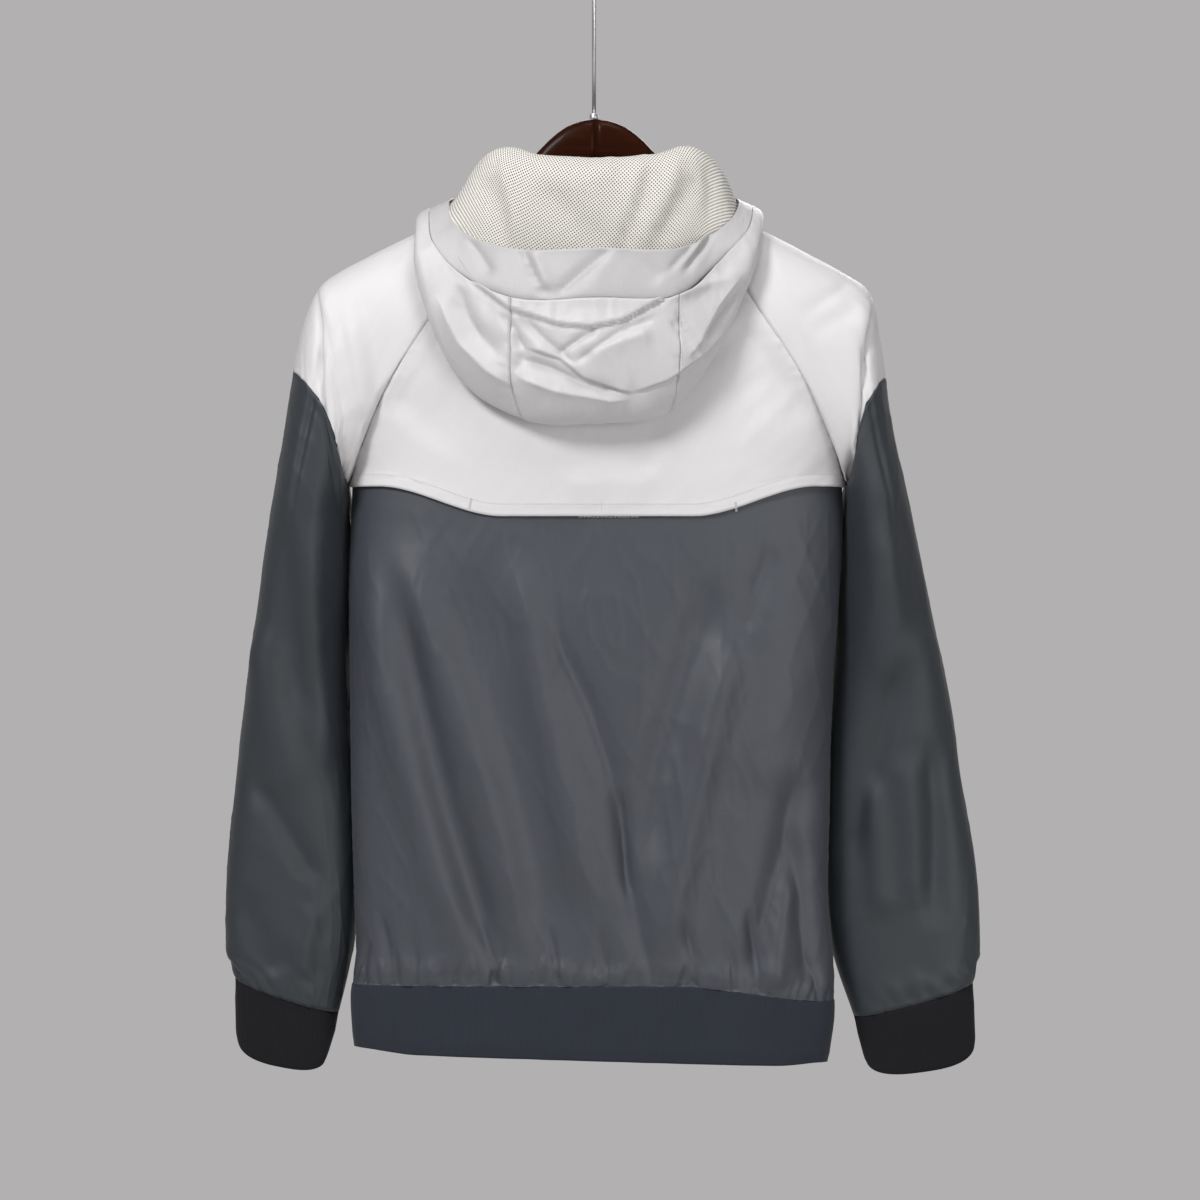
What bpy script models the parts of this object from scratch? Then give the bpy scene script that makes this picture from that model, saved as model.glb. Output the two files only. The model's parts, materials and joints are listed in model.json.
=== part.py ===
"""A hooded raglan windbreaker, closed at the front, hanging on a wooden hanger.

Lengths below are in millimetres, and the meshes are made in metres. +Z is up, the back of the jacket
faces -Y, and the origin is the inside top of the hanger's hook. Tables for one half of the body give X as
a distance from the jacket's centre line, so the same row serves the left and the right side.
"""
import math

import bmesh
import bpy
import numpy as np
from mathutils import Matrix, Vector

MM = 0.001

# Cloth and seams
WOVEN = 1.2            # wall of the woven cloth
RIB = 2.0              # wall of the rib knit
NET = 0.8              # wall of the mesh
SEAM = 0.3             # gap between two pieces that are sewn together
SIDE_SEAM = 0.2        # each side panel stops this far from the seam's plane
SIDE_TURN = 87.5       # the column next to a side seam, close enough that the edge faces sideways
BREAK_SEAM = 0.75      # half the gap at a sleeve's colour break, where the crease bends both walls
CENTRE_X = 3.0         # the jacket hangs this far to the right of the hook
SQUARE = 2.8           # exponent of the body's rounded sections
SLEEVE_SQUARE = 2.3    # exponent of the sleeves' rounded sections

# Heights
NECK_BACK_Z = -243.0
NECK_FRONT_Z = -292.0
LOWER_BACK_TOP_Z = -452.0
BREAK_FRONT_Z = -458.0
FLAP_Z = -481.0
GATHER_TOP_Z = -836.0
HEM_TOP_Z = -869.0
HEM_BOTTOM_Z = -931.0

# Grid sizes
BACK_SPANS = 30
FRONT_SPANS = 9
GATHER_SPLIT = 4       # fine spans for each coarse one, so each coarse span takes one gather
SEAM_STEPS = 10        # rows of a yoke between the neck and the underarm
HOOD_STEP = 11.0       # degrees between the hood's sections
GATHER_ROWS = ((0.35, 0.8), (0.78, 2.1), (1.0, 0.8))         # share of the way to the hem, wave height
HEM_ROWS = ((0.0, -0.1), (0.15, 0.5), (0.85, 0.5), (1.0, -0.2))   # share of the band, swell
CUFF_ROWS = ((17, 0.0), (17.3, 1.0), (18, 0.2))              # sleeve ring, swell
CUFF_GATHERS = ((16.72, 1.9), (16.99, 1.1))                  # sleeve ring, wave height
VENT = (-16.0, 34.0)   # the ends of the mesh that shows below the flap
VENT_Z = (-481.5, -484.2)

# Zip
ZIP_WIDTH = 12.4
ZIP_WALL = 1.4
SLIDER_Z = -306.0
SLIDER_SIZE = (9.0, 3.0, 12.0)
TUNNEL = (2.4, 6.4)    # clear depth and height under the slider's bridge
BRIDGE = (3.0, 1.2)    # width and wall of the bridge
PULL_SIZE = (8.0, 1.4, 30.0)
PULL_SLOT = (4.2, 9.0)
PULL_BAR = 1.4

# Hanger and hook
ARM_LENGTH = 222.0
ARM_CLEAR = 0.6        # from an arm's top to the cloth above it
WIRE = 3.4
HOOK_INNER = 18.0
COLLAR = (7.6, 3.8)


def columns(names, rows):
    """A table: its named columns, the first one being the key."""
    return dict(zip(names.split(), np.array(rows, dtype=float).T))


# Body sections below the arms: half widths to the left and right, depths to the back and front
TORSO = columns("z left right back front", [
    (-452, 204.0, 203.5, 64.5, 63.6),
    (-485, 205.5, 204.5, 66.0, 64.5),
    (-520, 207.0, 202.5, 66.5, 65.0),
    (-630, 206.0, 195.5, 65.5, 64.0),
    (-715, 205.0, 193.5, 62.0, 60.0),
    (-803, 202.5, 192.5, 57.5, 55.5),
    (-845, 201.0, 196.0, 55.5, 53.5),
    (-869, 204.0, 197.0, 53.0, 51.0),
    (-931, 203.0, 192.0, 50.0, 48.0)])

# Neck seam round the body: 0 is the back's centre, 90 a shoulder, 180 the front's centre
NECK = columns("turn x y z", [
    (0, 0, -40, -243), (30, 50, -38, -241), (60, 86, -25, -236), (90, 98, 0, -230),
    (125, 86, 26, -244), (150, 52, 43, -269), (180, 0, 50, -292)])
BACK_CORNER = 60.0     # turn where the back raglan seam meets the neck
FRONT_CORNER = 125.0

# Raglan seams from the neck down to the underarm, with the panel's depth at its centre line
BACK_SEAM = columns("down x y z depth", [
    (0.00, 86, -25, -236, 40), (0.15, 104, -41, -260, 48.5), (0.33, 128, -56, -303, 59.5),
    (0.50, 155, -60, -343, 64.0), (0.67, 176, -54, -378, 66.5), (0.84, 196, -33, -424, 67.8),
    (1.00, 207, 0, -456, 68.2)])
FRONT_SEAM = columns("down x y z depth", [
    (0.00, 86, 26, -244, 50), (0.15, 106, 43, -272, 55.0), (0.33, 130, 55, -312, 59.5),
    (0.50, 156, 59, -348, 62.0), (0.67, 177, 53, -381, 63.5), (0.84, 196, 32, -426, 63.8),
    (1.00, 205.5, 0, -456, 63.8)])

# Sleeve rings, from just past the raglan seam (1) over the shoulder tip (4) and the colour break (6) to
# the cuff's top (17) and bottom (18). out and in are a ring's outer and inner ends, seen from behind.
RING_NAMES = "ring out_x out_z in_x in_z mid_y half_y bow crease dip"
RINGS = {
    "left": columns(RING_NAMES, [
        (1, 149, -243.5, 208.0, -453.5, 0, 60, 2, 0, 0),
        (2, 187, -262.0, 209.0, -452.0, 0, 62, 4, 0, 0),
        (3, 219, -279.5, 210.0, -450.5, 0, 63, 6, 2, 0),
        (4, 234, -294.0, 211.3, -449.0, 0, 64, 8, 5, 0),
        (5, 246, -326.0, 212.7, -447.5, 0, 65, 10, 7, 0),
        (6, 253, -360.0, 214.0, -446.0, 0, 66, 12, 8, 0),
        (7, 258.5, -392, 216.0, -450.0, 0, 66, 10, 8, 0),
        (8, 264, -426, 209.0, -464.0, 0, 66, 7, 6, 0),
        (9, 269.5, -460, 205.0, -487.0, 2, 66, 3, 3, 0),
        (10, 280, -522, 203.5, -530.0, 8, 62, 0, 0, 0),
        (11, 287.5, -579, 204.0, -579.0, 17, 58, 0, 0, 0),
        (12, 294, -632, 205.0, -632.0, 24, 53, 0, 0, 0),
        (13, 303, -700, 204.0, -700.0, 29, 47, 0, 0, 0),
        (14, 310, -767, 201.5, -767.0, 28, 41, 0, 0, 0),
        (15, 311, -811, 201.5, -811.0, 28, 37, 0, 0, 0),
        (16, 309.5, -840, 205.0, -845.0, 28, 34, 0, 0, 2),
        (17, 303, -864, 216.0, -892.0, 25, 25, 0, 0, 6),
        (18, 302, -912, 226.0, -927.0, 22, 21, 0, 0, 20)]),
    "right": columns(RING_NAMES, [
        (1, 141, -244.5, 208.0, -453.5, 0, 60, 2, 0, 0),
        (2, 174, -261.0, 208.7, -452.0, 0, 62, 4, 0, 0),
        (3, 206, -278.5, 209.4, -450.5, 0, 63, 6, 2, 0),
        (4, 227.5, -296, 210.2, -449.0, 0, 64, 8, 4, 0),
        (5, 234.5, -330, 211.0, -448.0, 0, 65, 9, 5, 0),
        (6, 239.5, -364, 212.5, -447.5, 0, 66, 10, 5, 0),
        (7, 243.5, -394, 213.0, -453.0, 0, 66, 8, 5, 0),
        (8, 249.5, -425, 207.0, -464.0, 0, 66, 7, 6, 0),
        (9, 257, -460, 203.0, -487.0, 2, 66, 3, 3, 0),
        (10, 270.5, -518, 200.0, -526.0, 9, 62, 0, 0, 0),
        (11, 282, -572, 197.5, -575.0, 17, 57, 0, 0, 0),
        (12, 294, -632, 194.0, -632.0, 25, 51, 0, 0, 0),
        (13, 304.5, -700, 190.5, -700.0, 30, 45, 0, 0, 0),
        (14, 313.4, -767, 189.5, -767.0, 33, 39, 0, 0, 0),
        (15, 315, -811, 191.0, -811.0, 33, 36, 0, 0, 0),
        (16, 314.5, -843, 198.0, -850.0, 32, 32, 0, 0, 2),
        (17, 309, -868, 214.0, -896.0, 28, 25, 0, 0, 6),
        (18, 312.5, -918, 224.0, -930.0, 25, 21, 0, 0, 20)])}
TILT = columns("ring tilt", [   # how far a ring's inner end lies forward, in front of the body's side
    (6, 0), (7, 4), (8, 26), (9, 42), (10, 40), (11, 26), (12, 12), (13, 4), (14, 0), (18, 0)])
BREAK_RING = 6
GATHER_RING = 16
CREASE_TURN = 70       # where the fold between the cap and the sleeve's outer lobe runs
NECK_TURN = 36         # a ring's turn that starts at the neck's corner
BACK_TURNS = (49, 62, 70, 78, 92, 108, 126, 144, 162)

# Hood sections round the neck, as distances out from the neck seam and up from it
HOOD = columns("turn aim crest_out crest_up roll far_out far_up foot_out foot_up belly_out belly_up "
               "rim_out rim_up", [
    (0, 0, 12, 53, 10, 27, -58, 41, -161, 72, -93, 60, -19),
    (25, 22, 11, 55, 10, 27, -56, 42, -153, 68, -90, 55, -21),
    (45, 34, 10, 59, 9, 29, -37, 46, -111, 60, -56, 42, -11),
    (60, 46, 9, 47, 8, 32, -12, 54, -56, 62, -27, 35, -1),
    (75, 68, 6, 30, 6, 23, 1, 46, -13, 51, -2, 25, 11),
    (90, 90, 3, 17, 3, 16, 3, 42, -8, 44, 2, 12, 14),
    (103, 106, 3, 17, 3, 14, 4, 36, -7, 43, 2, 20, 14),
    (114, 116, 3, 18, 3.5, 13.5, 5, 31, -7, 40, -2, 36, 11),
    (126, 129, 3, 20, 4, 13, 6, 24, -6, 34, -9, 44, -4),
    (138, 140, 2.5, 21, 4, 11, 6, 19, -7, 27, -13, 36, -15),
    (152, 153, 2, 22, 4, 10, 6, 15, -7, 20, -16, 25, -24),
    (172, 175, 1, 23, 4, 9, 7, 13, -6, 16, -16, 18, -25)])
# What the left half adds to the sections: it hangs fuller than the right
HOOD_LEFT = columns("turn aim out up", [
    (0, 0, 0, 0), (25, 2, 0, -6), (45, 12, 8, -17), (60, 6, 8, -15), (75, -8, 9, -7), (90, 0, 1, 0),
    (103, 0, 0, 0), (172, 0, 0, 0)])
HOOD_END = 172.0
HOOD_SPREAD = 0.10     # the left half lies this share wider than the mean, the right half narrower
HOOD_SEAM_TURN = 25.0
HOOD_SEAM = 0.55       # the gap of the hood's curved seams
LINING_SHORT = 0.35    # share of its last span by which the lining stops before the shell's bend
LINING_GAP = 0.85      # from the shell to its lining
HOOD_SEAT = WOVEN + WOVEN + 0.5
HOOD_TUCK = 3.0
BAND_KNOT = 7.45       # knots count along a hood section: 0 the neck, 2 the crest, 5 the foot, 8 the rim
LINING_KNOT = 0.25     # where the lining starts, above the neck seam
HOOD_KNOTS = (1, 1.6, 2, 2.5, 3, 4, 4.6, 5, 5.4, 6, 6.6)

# Large soft folds of the body, each a trough that runs through three points
FOLDS = columns("fold x0 z0 x1 z1 x2 z2 wide deep", [
    (1, -185, -545, -145, -735, -96, -858, 17, 5.5),
    (2, -44, -560, 8, -690, 45, -842, 17, 5.5),
    (3, 100, -545, 72, -660, 28, -790, 17, 5.5),
    (4, 150, -750, 132, -812, 112, -862, 14, 4.5),
    (5, -20, -730, -46, -800, -60, -862, 14, 3.5),
    (6, -110, -520, -104, -600, -112, -700, 22, 4.0)])

COLOURS = {
    "light_woven": ((0.76, 0.74, 0.745), 0.55, 0.0),
    "hood_woven": ((0.66, 0.64, 0.645), 0.5, 0.0),
    "net": ((0.74, 0.71, 0.66), 0.8, 0.0),
    "body_woven": ((0.075, 0.085, 0.105), 0.55, 0.0),
    "sleeve_woven": ((0.042, 0.05, 0.058), 0.55, 0.0),
    "cuff_rib": ((0.018, 0.017, 0.02), 0.9, 0.0),
    "hem_rib": ((0.035, 0.039, 0.05), 0.85, 0.0),
    "zip_tape": ((0.03, 0.032, 0.036), 0.6, 0.0),
    "zip_metal": ((0.30, 0.30, 0.31), 0.35, 1.0),
    "wood": ((0.035, 0.008, 0.004), 0.25, 0.0),
    "steel": ((0.75, 0.75, 0.76), 0.2, 1.0)}


def read(table, column, key):
    """A column's value at a key, on a smooth curve through the table's rows."""
    keys = next(iter(table.values()))
    values = table[column]
    if keys[0] > keys[-1]:
        keys = keys[::-1]
        values = values[::-1]
    key = min(max(key, keys[0]), keys[-1])
    i = min(max(int(np.searchsorted(keys, key)) - 1, 0), len(keys) - 2)
    widths = np.diff(keys)
    slopes = np.diff(values) / widths

    def tangent(k):
        if k == 0 or k == len(keys) - 1:
            return slopes[min(k, len(slopes) - 1)]
        return (slopes[k - 1] * widths[k] + slopes[k] * widths[k - 1]) / (widths[k] + widths[k - 1])

    t = (key - keys[i]) / widths[i]
    start = (1 + 2 * t) * (1 - t) ** 2 * values[i] + t * (1 - t) ** 2 * widths[i] * tangent(i)
    end = t * t * (3 - 2 * t) * values[i + 1] - t * t * (1 - t) * widths[i] * tangent(i + 1)
    return float(start + end)


def ease(value, low, high):
    """0 below low, 1 above high, and a smooth step between them."""
    t = min(max((value - low) / (high - low), 0.0), 1.0)
    return t * t * (3 - 2 * t)


def power(value, exponent):
    """A power that keeps the sign."""
    return math.copysign(abs(value) ** exponent, value)


def spans(start, end, count):
    return [start + (end - start) * i / count for i in range(count + 1)]


def uneven(index):
    """A repeatable value from 0 to 1 for each number."""
    return (math.sin(index * 12.9898 + 4.1) * 43758.5453) % 1.0


# ---- meshes

def material(name):
    found = bpy.data.materials.get(name)
    if found:
        return found
    colour, roughness, metallic = COLOURS[name]
    made = bpy.data.materials.new(name)
    made.use_nodes = True
    shader = made.node_tree.nodes["Principled BSDF"]
    shader.inputs["Base Color"].default_value = (*colour, 1.0)
    shader.inputs["Roughness"].default_value = roughness
    shader.inputs["Metallic"].default_value = metallic
    return made


def add_object(name, mesh, finish):
    own = material(finish).copy()
    own.name = f"{name}_{finish}"
    mesh.materials.append(own)
    made = bpy.data.objects.new(name, mesh)
    bpy.context.collection.objects.link(made)
    return made


def bridge(mesh, upper, lower):
    """Faces between two rows of vertices, where lower may have a whole multiple of upper's spans."""
    ratio = (len(lower) - 1) // (len(upper) - 1)
    for i in range(len(upper) - 1):
        first = i * ratio
        if ratio == 1:
            mesh.faces.new((upper[i], lower[first], lower[first + 1], upper[i + 1]))
            continue
        half = ratio // 2
        for k in range(ratio):
            top = upper[i] if k < half else upper[i + 1]
            mesh.faces.new((top, lower[first + k], lower[first + k + 1]))
        mesh.faces.new((upper[i], lower[first + half], upper[i + 1]))


def cloth(name, rows, finish, wall=WOVEN, closed=False, outside=1, even=False):
    """A cloth wall whose outer face runs through rows of points, top row first.

    outside is 1 where the rows run from left to right as seen from outside, and -1 where they run back.
    even keeps the wall's thickness at tight bends.
    """
    mesh = bmesh.new()
    made = []
    for row in rows:
        verts = [mesh.verts.new(Vector(p) * MM) for p in row]
        if closed:
            verts.append(verts[0])
        made.append(verts if outside > 0 else verts[::-1])
    for upper, lower in zip(made, made[1:]):
        bridge(mesh, upper, lower)
    data = bpy.data.meshes.new(name)
    mesh.to_mesh(data)
    mesh.free()
    data.shade_smooth()
    panel = add_object(name, data, finish)
    thick = panel.modifiers.new("wall", "SOLIDIFY")
    thick.thickness = wall * MM
    thick.offset = -1
    thick.use_even_offset = even
    return panel


def moved_out(rows, distance):
    """The same open rows, moved along the surface's normals so that the faces keep the distance."""
    mesh = bmesh.new()
    made = [[mesh.verts.new(p) for p in row] for row in rows]
    for upper, lower in zip(made, made[1:]):
        bridge(mesh, upper, lower)
    mesh.normal_update()
    moved = [[v.co + v.normal * distance * v.calc_shell_factor() for v in row] for row in made]
    mesh.free()
    return moved


def drawn_back(row, neighbour, distance):
    """A row moved towards its neighbour, which opens a seam of that width."""
    return [a + (b - a).normalized() * distance for a, b in zip(row, neighbour)]


# ---- body

def fold_depth(x, z):
    """How far the large folds press the cloth inwards at a place of the back."""
    depth = 0.0
    for i in range(len(FOLDS["fold"])):
        x0, z0, x1, z1, x2, z2, wide, deep = (FOLDS[c][i] for c in
                                              "x0 z0 x1 z1 x2 z2 wide deep".split())
        path = read({"z": np.array([z0, z1, z2]), "x": np.array([x0, x1, x2])}, "x", z)
        fade = ease(z, z2 - 12, z2 + 25) * (1 - ease(z, z0 - 45, z0))
        depth += deep * fade * math.exp(-((x - path) / wide) ** 2)
    return depth


def body_point(turn, z, lift=0.0, table_z=None):
    """A point of the body: turn is 0 at the back's centre, 90 at the right side, 180 in front."""
    s = math.sin(math.radians(turn))
    c = math.cos(math.radians(turn))
    key = z if table_z is None else table_z
    half = read(TORSO, "left" if s < 0 else "right", key)
    depth = read(TORSO, "back" if c > 0 else "front", key)
    x = half * power(s, 2 / SQUARE)
    y = -depth * power(c, 2 / SQUARE)
    normal = Vector((power(x / half, SQUARE - 1) / half, power(y / depth, SQUARE - 1) / depth, 0))
    point = Vector((x, y, z)) + normal.normalized() * lift
    side = 1 if c > 0 else -1
    point.y += side * fold_depth(x * side, z) * abs(c) ** 0.5
    point.x += CENTRE_X
    return point


def hem_top(x):
    """The hem seam sags to the right."""
    return HEM_TOP_Z - 14.0 * ease(x, 60, 200)


def hem_bottom(x):
    return HEM_BOTTOM_Z - 0.03 * x + 4.0 * ease(-x, 150, 205) + 3.0 * ease(x, 150, 195)


def gather(index, amount):
    """Height of the cloth at a fine column of the gathers: a wave for every four columns."""
    wave = index // GATHER_SPLIT
    size = 0.55 + 0.45 * uneven(wave)
    return amount * size * (0, 1, 0.1, -0.9)[index % GATHER_SPLIT]


def lower_rows(turns, top_z, face):
    """Rows of a lower panel, coarse above and fine where the hem gathers it."""
    heights = spans(top_z, GATHER_TOP_Z, 7)
    rows = [[body_point(turn, z) for turn in turns] for z in heights]
    fine = []
    for a, b in zip(turns, turns[1:]):
        fine.extend(spans(a, b, GATHER_SPLIT)[:-1])
    fine.append(turns[-1])
    for share, amount in GATHER_ROWS:
        row = []
        for i, turn in enumerate(fine):
            x = body_point(turn, GATHER_TOP_Z).x - CENTRE_X
            seam = hem_top(x) + SEAM
            z = GATHER_TOP_Z + (seam - GATHER_TOP_Z) * share
            edge = 1.0 if GATHER_SPLIT <= i < len(fine) - GATHER_SPLIT else 0.0
            row.append(body_point(turn, z, gather(i, amount) * edge, table_z=max(z, HEM_TOP_Z)))
        rows.append(row)
    for point in [point for row in rows for point in row]:
        point.y = face * max(face * point.y, SIDE_SEAM)
    return rows


def back_turns():
    turns = spans(-90, 90, BACK_SPANS)
    turns[1] = -SIDE_TURN
    turns[-2] = SIDE_TURN
    return turns


def zip_turn(z):
    """The turn at which a front panel reaches the zip's edge."""
    half = read(TORSO, "right", z)
    edge = (ZIP_WIDTH / 2 + SEAM) / half
    return 180 - math.degrees(math.asin(edge ** (SQUARE / 2)))


def add_lower_panels():
    cloth("back_lower", lower_rows(back_turns(), LOWER_BACK_TOP_Z, -1), "body_woven")
    edge = zip_turn(-700)
    right = spans(90, edge, FRONT_SPANS)
    right[1] = 180 - SIDE_TURN
    left = [-t for t in reversed(right)]
    for side, turns in (("right", right), ("left", left)):
        rows = lower_rows(turns, BREAK_FRONT_Z, 1)
        for row in rows:
            end = row[-1] if side == "right" else row[0]
            reach = ZIP_WIDTH / 2 + SEAM
            end.x = CENTRE_X + (reach if side == "right" else -reach)
        cloth(f"front_{side}_lower", rows, "body_woven")


def add_hem():
    """A ring of rib that is open at the zip."""
    edge = zip_turn(-900)
    turns = spans(-edge, edge, 36)
    rows = []
    for share, lift in HEM_ROWS:
        row = []
        for turn in turns:
            x = body_point(turn, HEM_TOP_Z).x - CENTRE_X
            z = hem_top(x) + (hem_bottom(x) - hem_top(x)) * share
            point = body_point(turn, z, lift, table_z=HEM_TOP_Z + (HEM_BOTTOM_Z - HEM_TOP_Z) * share)
            row.append(point)
        reach = ZIP_WIDTH / 2 + SEAM
        row[0].x = CENTRE_X - reach
        row[-1].x = CENTRE_X + reach
        rows.append(row)
    cloth("hem_band", rows, "hem_rib", wall=RIB)


# ---- yokes

def neck_point(turn):
    side = -1 if turn < 0 else 1
    key = abs(turn)
    return Vector((CENTRE_X + side * read(NECK, "x", key), read(NECK, "y", key), read(NECK, "z", key)))


def seam_point(seam, down, side):
    x, y, z = (read(seam, c, down) for c in "xyz")
    return Vector((CENTRE_X + side * x, y, z))


def yoke_point(seam, down, share, centre_z, flap):
    """A point between the two raglan seams: share runs from -1, left, to 1, right."""
    edge = read(seam, "x", down)
    edge_y = abs(read(seam, "y", down))
    edge_z = read(seam, "z", down)
    depth = read(seam, "depth", down)
    reach = edge / (1 - (edge_y / depth) ** SQUARE) ** (1 / SQUARE)
    x = edge * share
    y = depth * max(1 - abs(x / reach) ** SQUARE, 0) ** (1 / SQUARE)
    round_drop = math.sin(math.pi / 2 * (1 - abs(share)))
    flap_drop = 1 - ease(abs(share), 0.38, 0.88)
    mix = ease(down, 0.6, 1.0) if flap else 0.0
    drop = round_drop * (1 - mix) + flap_drop * mix
    return Vector((x, y, edge_z + (centre_z - edge_z) * drop))


def yoke_rows(seam, turns, corner, centre_top, centre_low, face, flap):
    """Rows from the neck to the lower edge. face is -1 on the back and 1 on the front."""
    rows = []
    for down in spans(0, 1, SEAM_STEPS):
        row = []
        for turn in turns:
            share = power(math.sin(math.radians(turn)), 2 / SQUARE)
            centre_z = centre_top + (centre_low - centre_top) * down
            point = yoke_point(seam, down, share, centre_z, flap)
            start = yoke_point(seam, 0, share, centre_top, flap)
            neck_turn = corner * turn / 90
            if face > 0:
                neck_turn = math.copysign(180 - (180 - corner) * abs(turn) / 90, turn)
            neck = neck_point(neck_turn)
            to_neck = Vector((neck.x - CENTRE_X - start.x, abs(neck.y) - start.y, neck.z - start.z))
            point += to_neck * (1 - ease(down, 0, 0.3))
            fold = fold_depth(point.x * -face, point.z) * abs(math.cos(math.radians(turn))) ** 0.5
            y = face * max(point.y - fold, SIDE_SEAM)
            row.append(Vector((point.x + CENTRE_X, y, point.z)))
        rows.append(row)
    return rows


def back_yoke_rows():
    return yoke_rows(BACK_SEAM, back_turns(), BACK_CORNER, NECK_BACK_Z, FLAP_Z, -1, True)


def add_yokes():
    cloth("back_yoke", back_yoke_rows(), "light_woven")
    zip_share = (ZIP_WIDTH / 2 + SEAM) / 200.0
    zip_edge = math.degrees(math.asin(zip_share ** (SQUARE / 2)))
    for side, name in ((1, "front_right_yoke"), (-1, "front_left_yoke")):
        turns = [side * t for t in spans(90, zip_edge, FRONT_SPANS)]
        rows = yoke_rows(FRONT_SEAM, turns, FRONT_CORNER, NECK_FRONT_Z, BREAK_FRONT_Z + SEAM, 1, False)
        for row in rows:
            row[-1].x = CENTRE_X + side * (ZIP_WIDTH / 2 + SEAM)
        cloth(name, rows, "light_woven", outside=side)


def add_vent_mesh():
    """A sliver of net that shows below the flap's edge, a little right of the centre."""
    rows = []
    for z in VENT_Z:
        row = []
        for x in spans(*VENT, 10):
            depth = read(TORSO, "back", z) * (1 - abs(x / 205) ** SQUARE) ** (1 / SQUARE)
            row.append(Vector((x + CENTRE_X, -depth + fold_depth(x, z) - SEAM - NET - 0.1, z)))
        rows.append(row)
    cloth("vent_mesh", rows, "net", wall=NET)


# ---- sleeves

def ring_point(side, ring, turn, lift=0.0):
    """A point of a sleeve ring: turn is 0 at the outer end, 90 at the back, 180 at the inner end."""
    table = RINGS[side]
    out_end = Vector((read(table, "out_x", ring), 0, read(table, "out_z", ring)))
    in_end = Vector((read(table, "in_x", ring), 0, read(table, "in_z", ring)))
    half_y = read(table, "half_y", ring)
    reach = (out_end - in_end) / 2
    along = reach.normalized()
    across = Vector((-along.z, 0, along.x))
    c = power(math.cos(math.radians(turn)), 2 / SLEEVE_SQUARE)
    s = power(math.sin(math.radians(turn)), 2 / SLEEVE_SQUARE)
    point = (out_end + in_end) / 2 + reach * c + across * read(table, "bow", ring) * (1 - c * c)
    point.y = read(table, "mid_y", ring) - half_y * s + read(TILT, "tilt", ring) * max(-c, 0.0) ** 2
    point.z -= read(table, "dip", ring) * s
    outward = along * (power(c, SLEEVE_SQUARE - 1) / reach.length)
    outward.y = -power(s, SLEEVE_SQUARE - 1) / half_y
    crease = 0.0
    if abs(turn) < 180:
        crease = read(table, "crease", ring) * math.exp(-((abs(turn) - CREASE_TURN) / 5.0) ** 2)
    point += outward.normalized() * (lift - crease)
    return place(point, side)


def place(point, side):
    sign = 1 if side == "right" else -1
    return Vector((CENTRE_X + sign * point.x, point.y, point.z))


def ring_turns():
    """Turns of a ring's columns: the neck's edge, the back seam, the underarm and the front seam."""
    back = [NECK_TURN, *BACK_TURNS]
    front = [-t for t in reversed(back)]
    return [0, NECK_TURN / 2, *back, 180, *front, -NECK_TURN / 2]


def seam_loop(side):
    """The sleeve's own edge along the neck and both raglan seams."""
    sign = 1 if side == "right" else -1
    downs = spans(0, 1, SEAM_STEPS)
    back = [seam_point(BACK_SEAM, d, sign) for d in downs]
    front = [seam_point(FRONT_SEAM, d, sign) for d in downs[:-1]]
    middle = (BACK_CORNER + 90) / 2
    front_middle = (FRONT_CORNER + 90) / 2
    return [neck_point(sign * 90), neck_point(sign * middle), *back, *reversed(front),
            neck_point(sign * front_middle)]


def add_sleeves():
    turns = ring_turns()
    for side in ("left", "right"):
        outside = 1 if side == "left" else -1
        edge = seam_loop(side)
        first = [ring_point(side, 1, t) for t in turns]
        start = [a + (b - a).normalized() * (SEAM + 0.1) if (b - a).length > 1 else a
                 for a, b in zip(edge, first)]
        rows = [start, first]
        rows += [[ring_point(side, k, t) for t in turns] for k in range(2, BREAK_RING)]
        colour_break = [ring_point(side, BREAK_RING, t) for t in turns]
        rows.append(drawn_back(colour_break, rows[-1], BREAK_SEAM))
        cloth(f"{side}_sleeve_upper", rows, "light_woven", closed=True, outside=outside)

        rings = [7, 8, 9, 10, 11, 12.4, 13.8, 15, GATHER_RING]
        rows = [[ring_point(side, k, t) for t in turns] for k in rings]
        rows.insert(0, drawn_back(colour_break, rows[0], BREAK_SEAM))
        fine = fine_turns(turns)
        for ring, amount in CUFF_GATHERS:
            rows.append([ring_point(side, ring, t, gather(i, amount)) for i, t in enumerate(fine)])
        cloth(f"{side}_sleeve_lower", rows, "sleeve_woven", closed=True, outside=outside)

        even = spans(0, 360, 28)[:-1]
        rows = [[ring_point(side, ring, wrap(t), lift) for t in even]
                for ring, lift in CUFF_ROWS]
        cloth(f"{side}_cuff", rows, "cuff_rib", wall=RIB, closed=True, outside=outside)


def wrap(turn):
    return turn - 360 if turn > 180 else turn


def fine_turns(turns):
    """Four columns for each coarse one, all the way round."""
    fine = []
    for a, b in zip(turns, turns[1:] + turns[:1]):
        step = (b - a) % 360
        fine.extend(wrap((a + step * k / GATHER_SPLIT) % 360) for k in range(GATHER_SPLIT))
    return fine


# ---- hood

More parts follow.
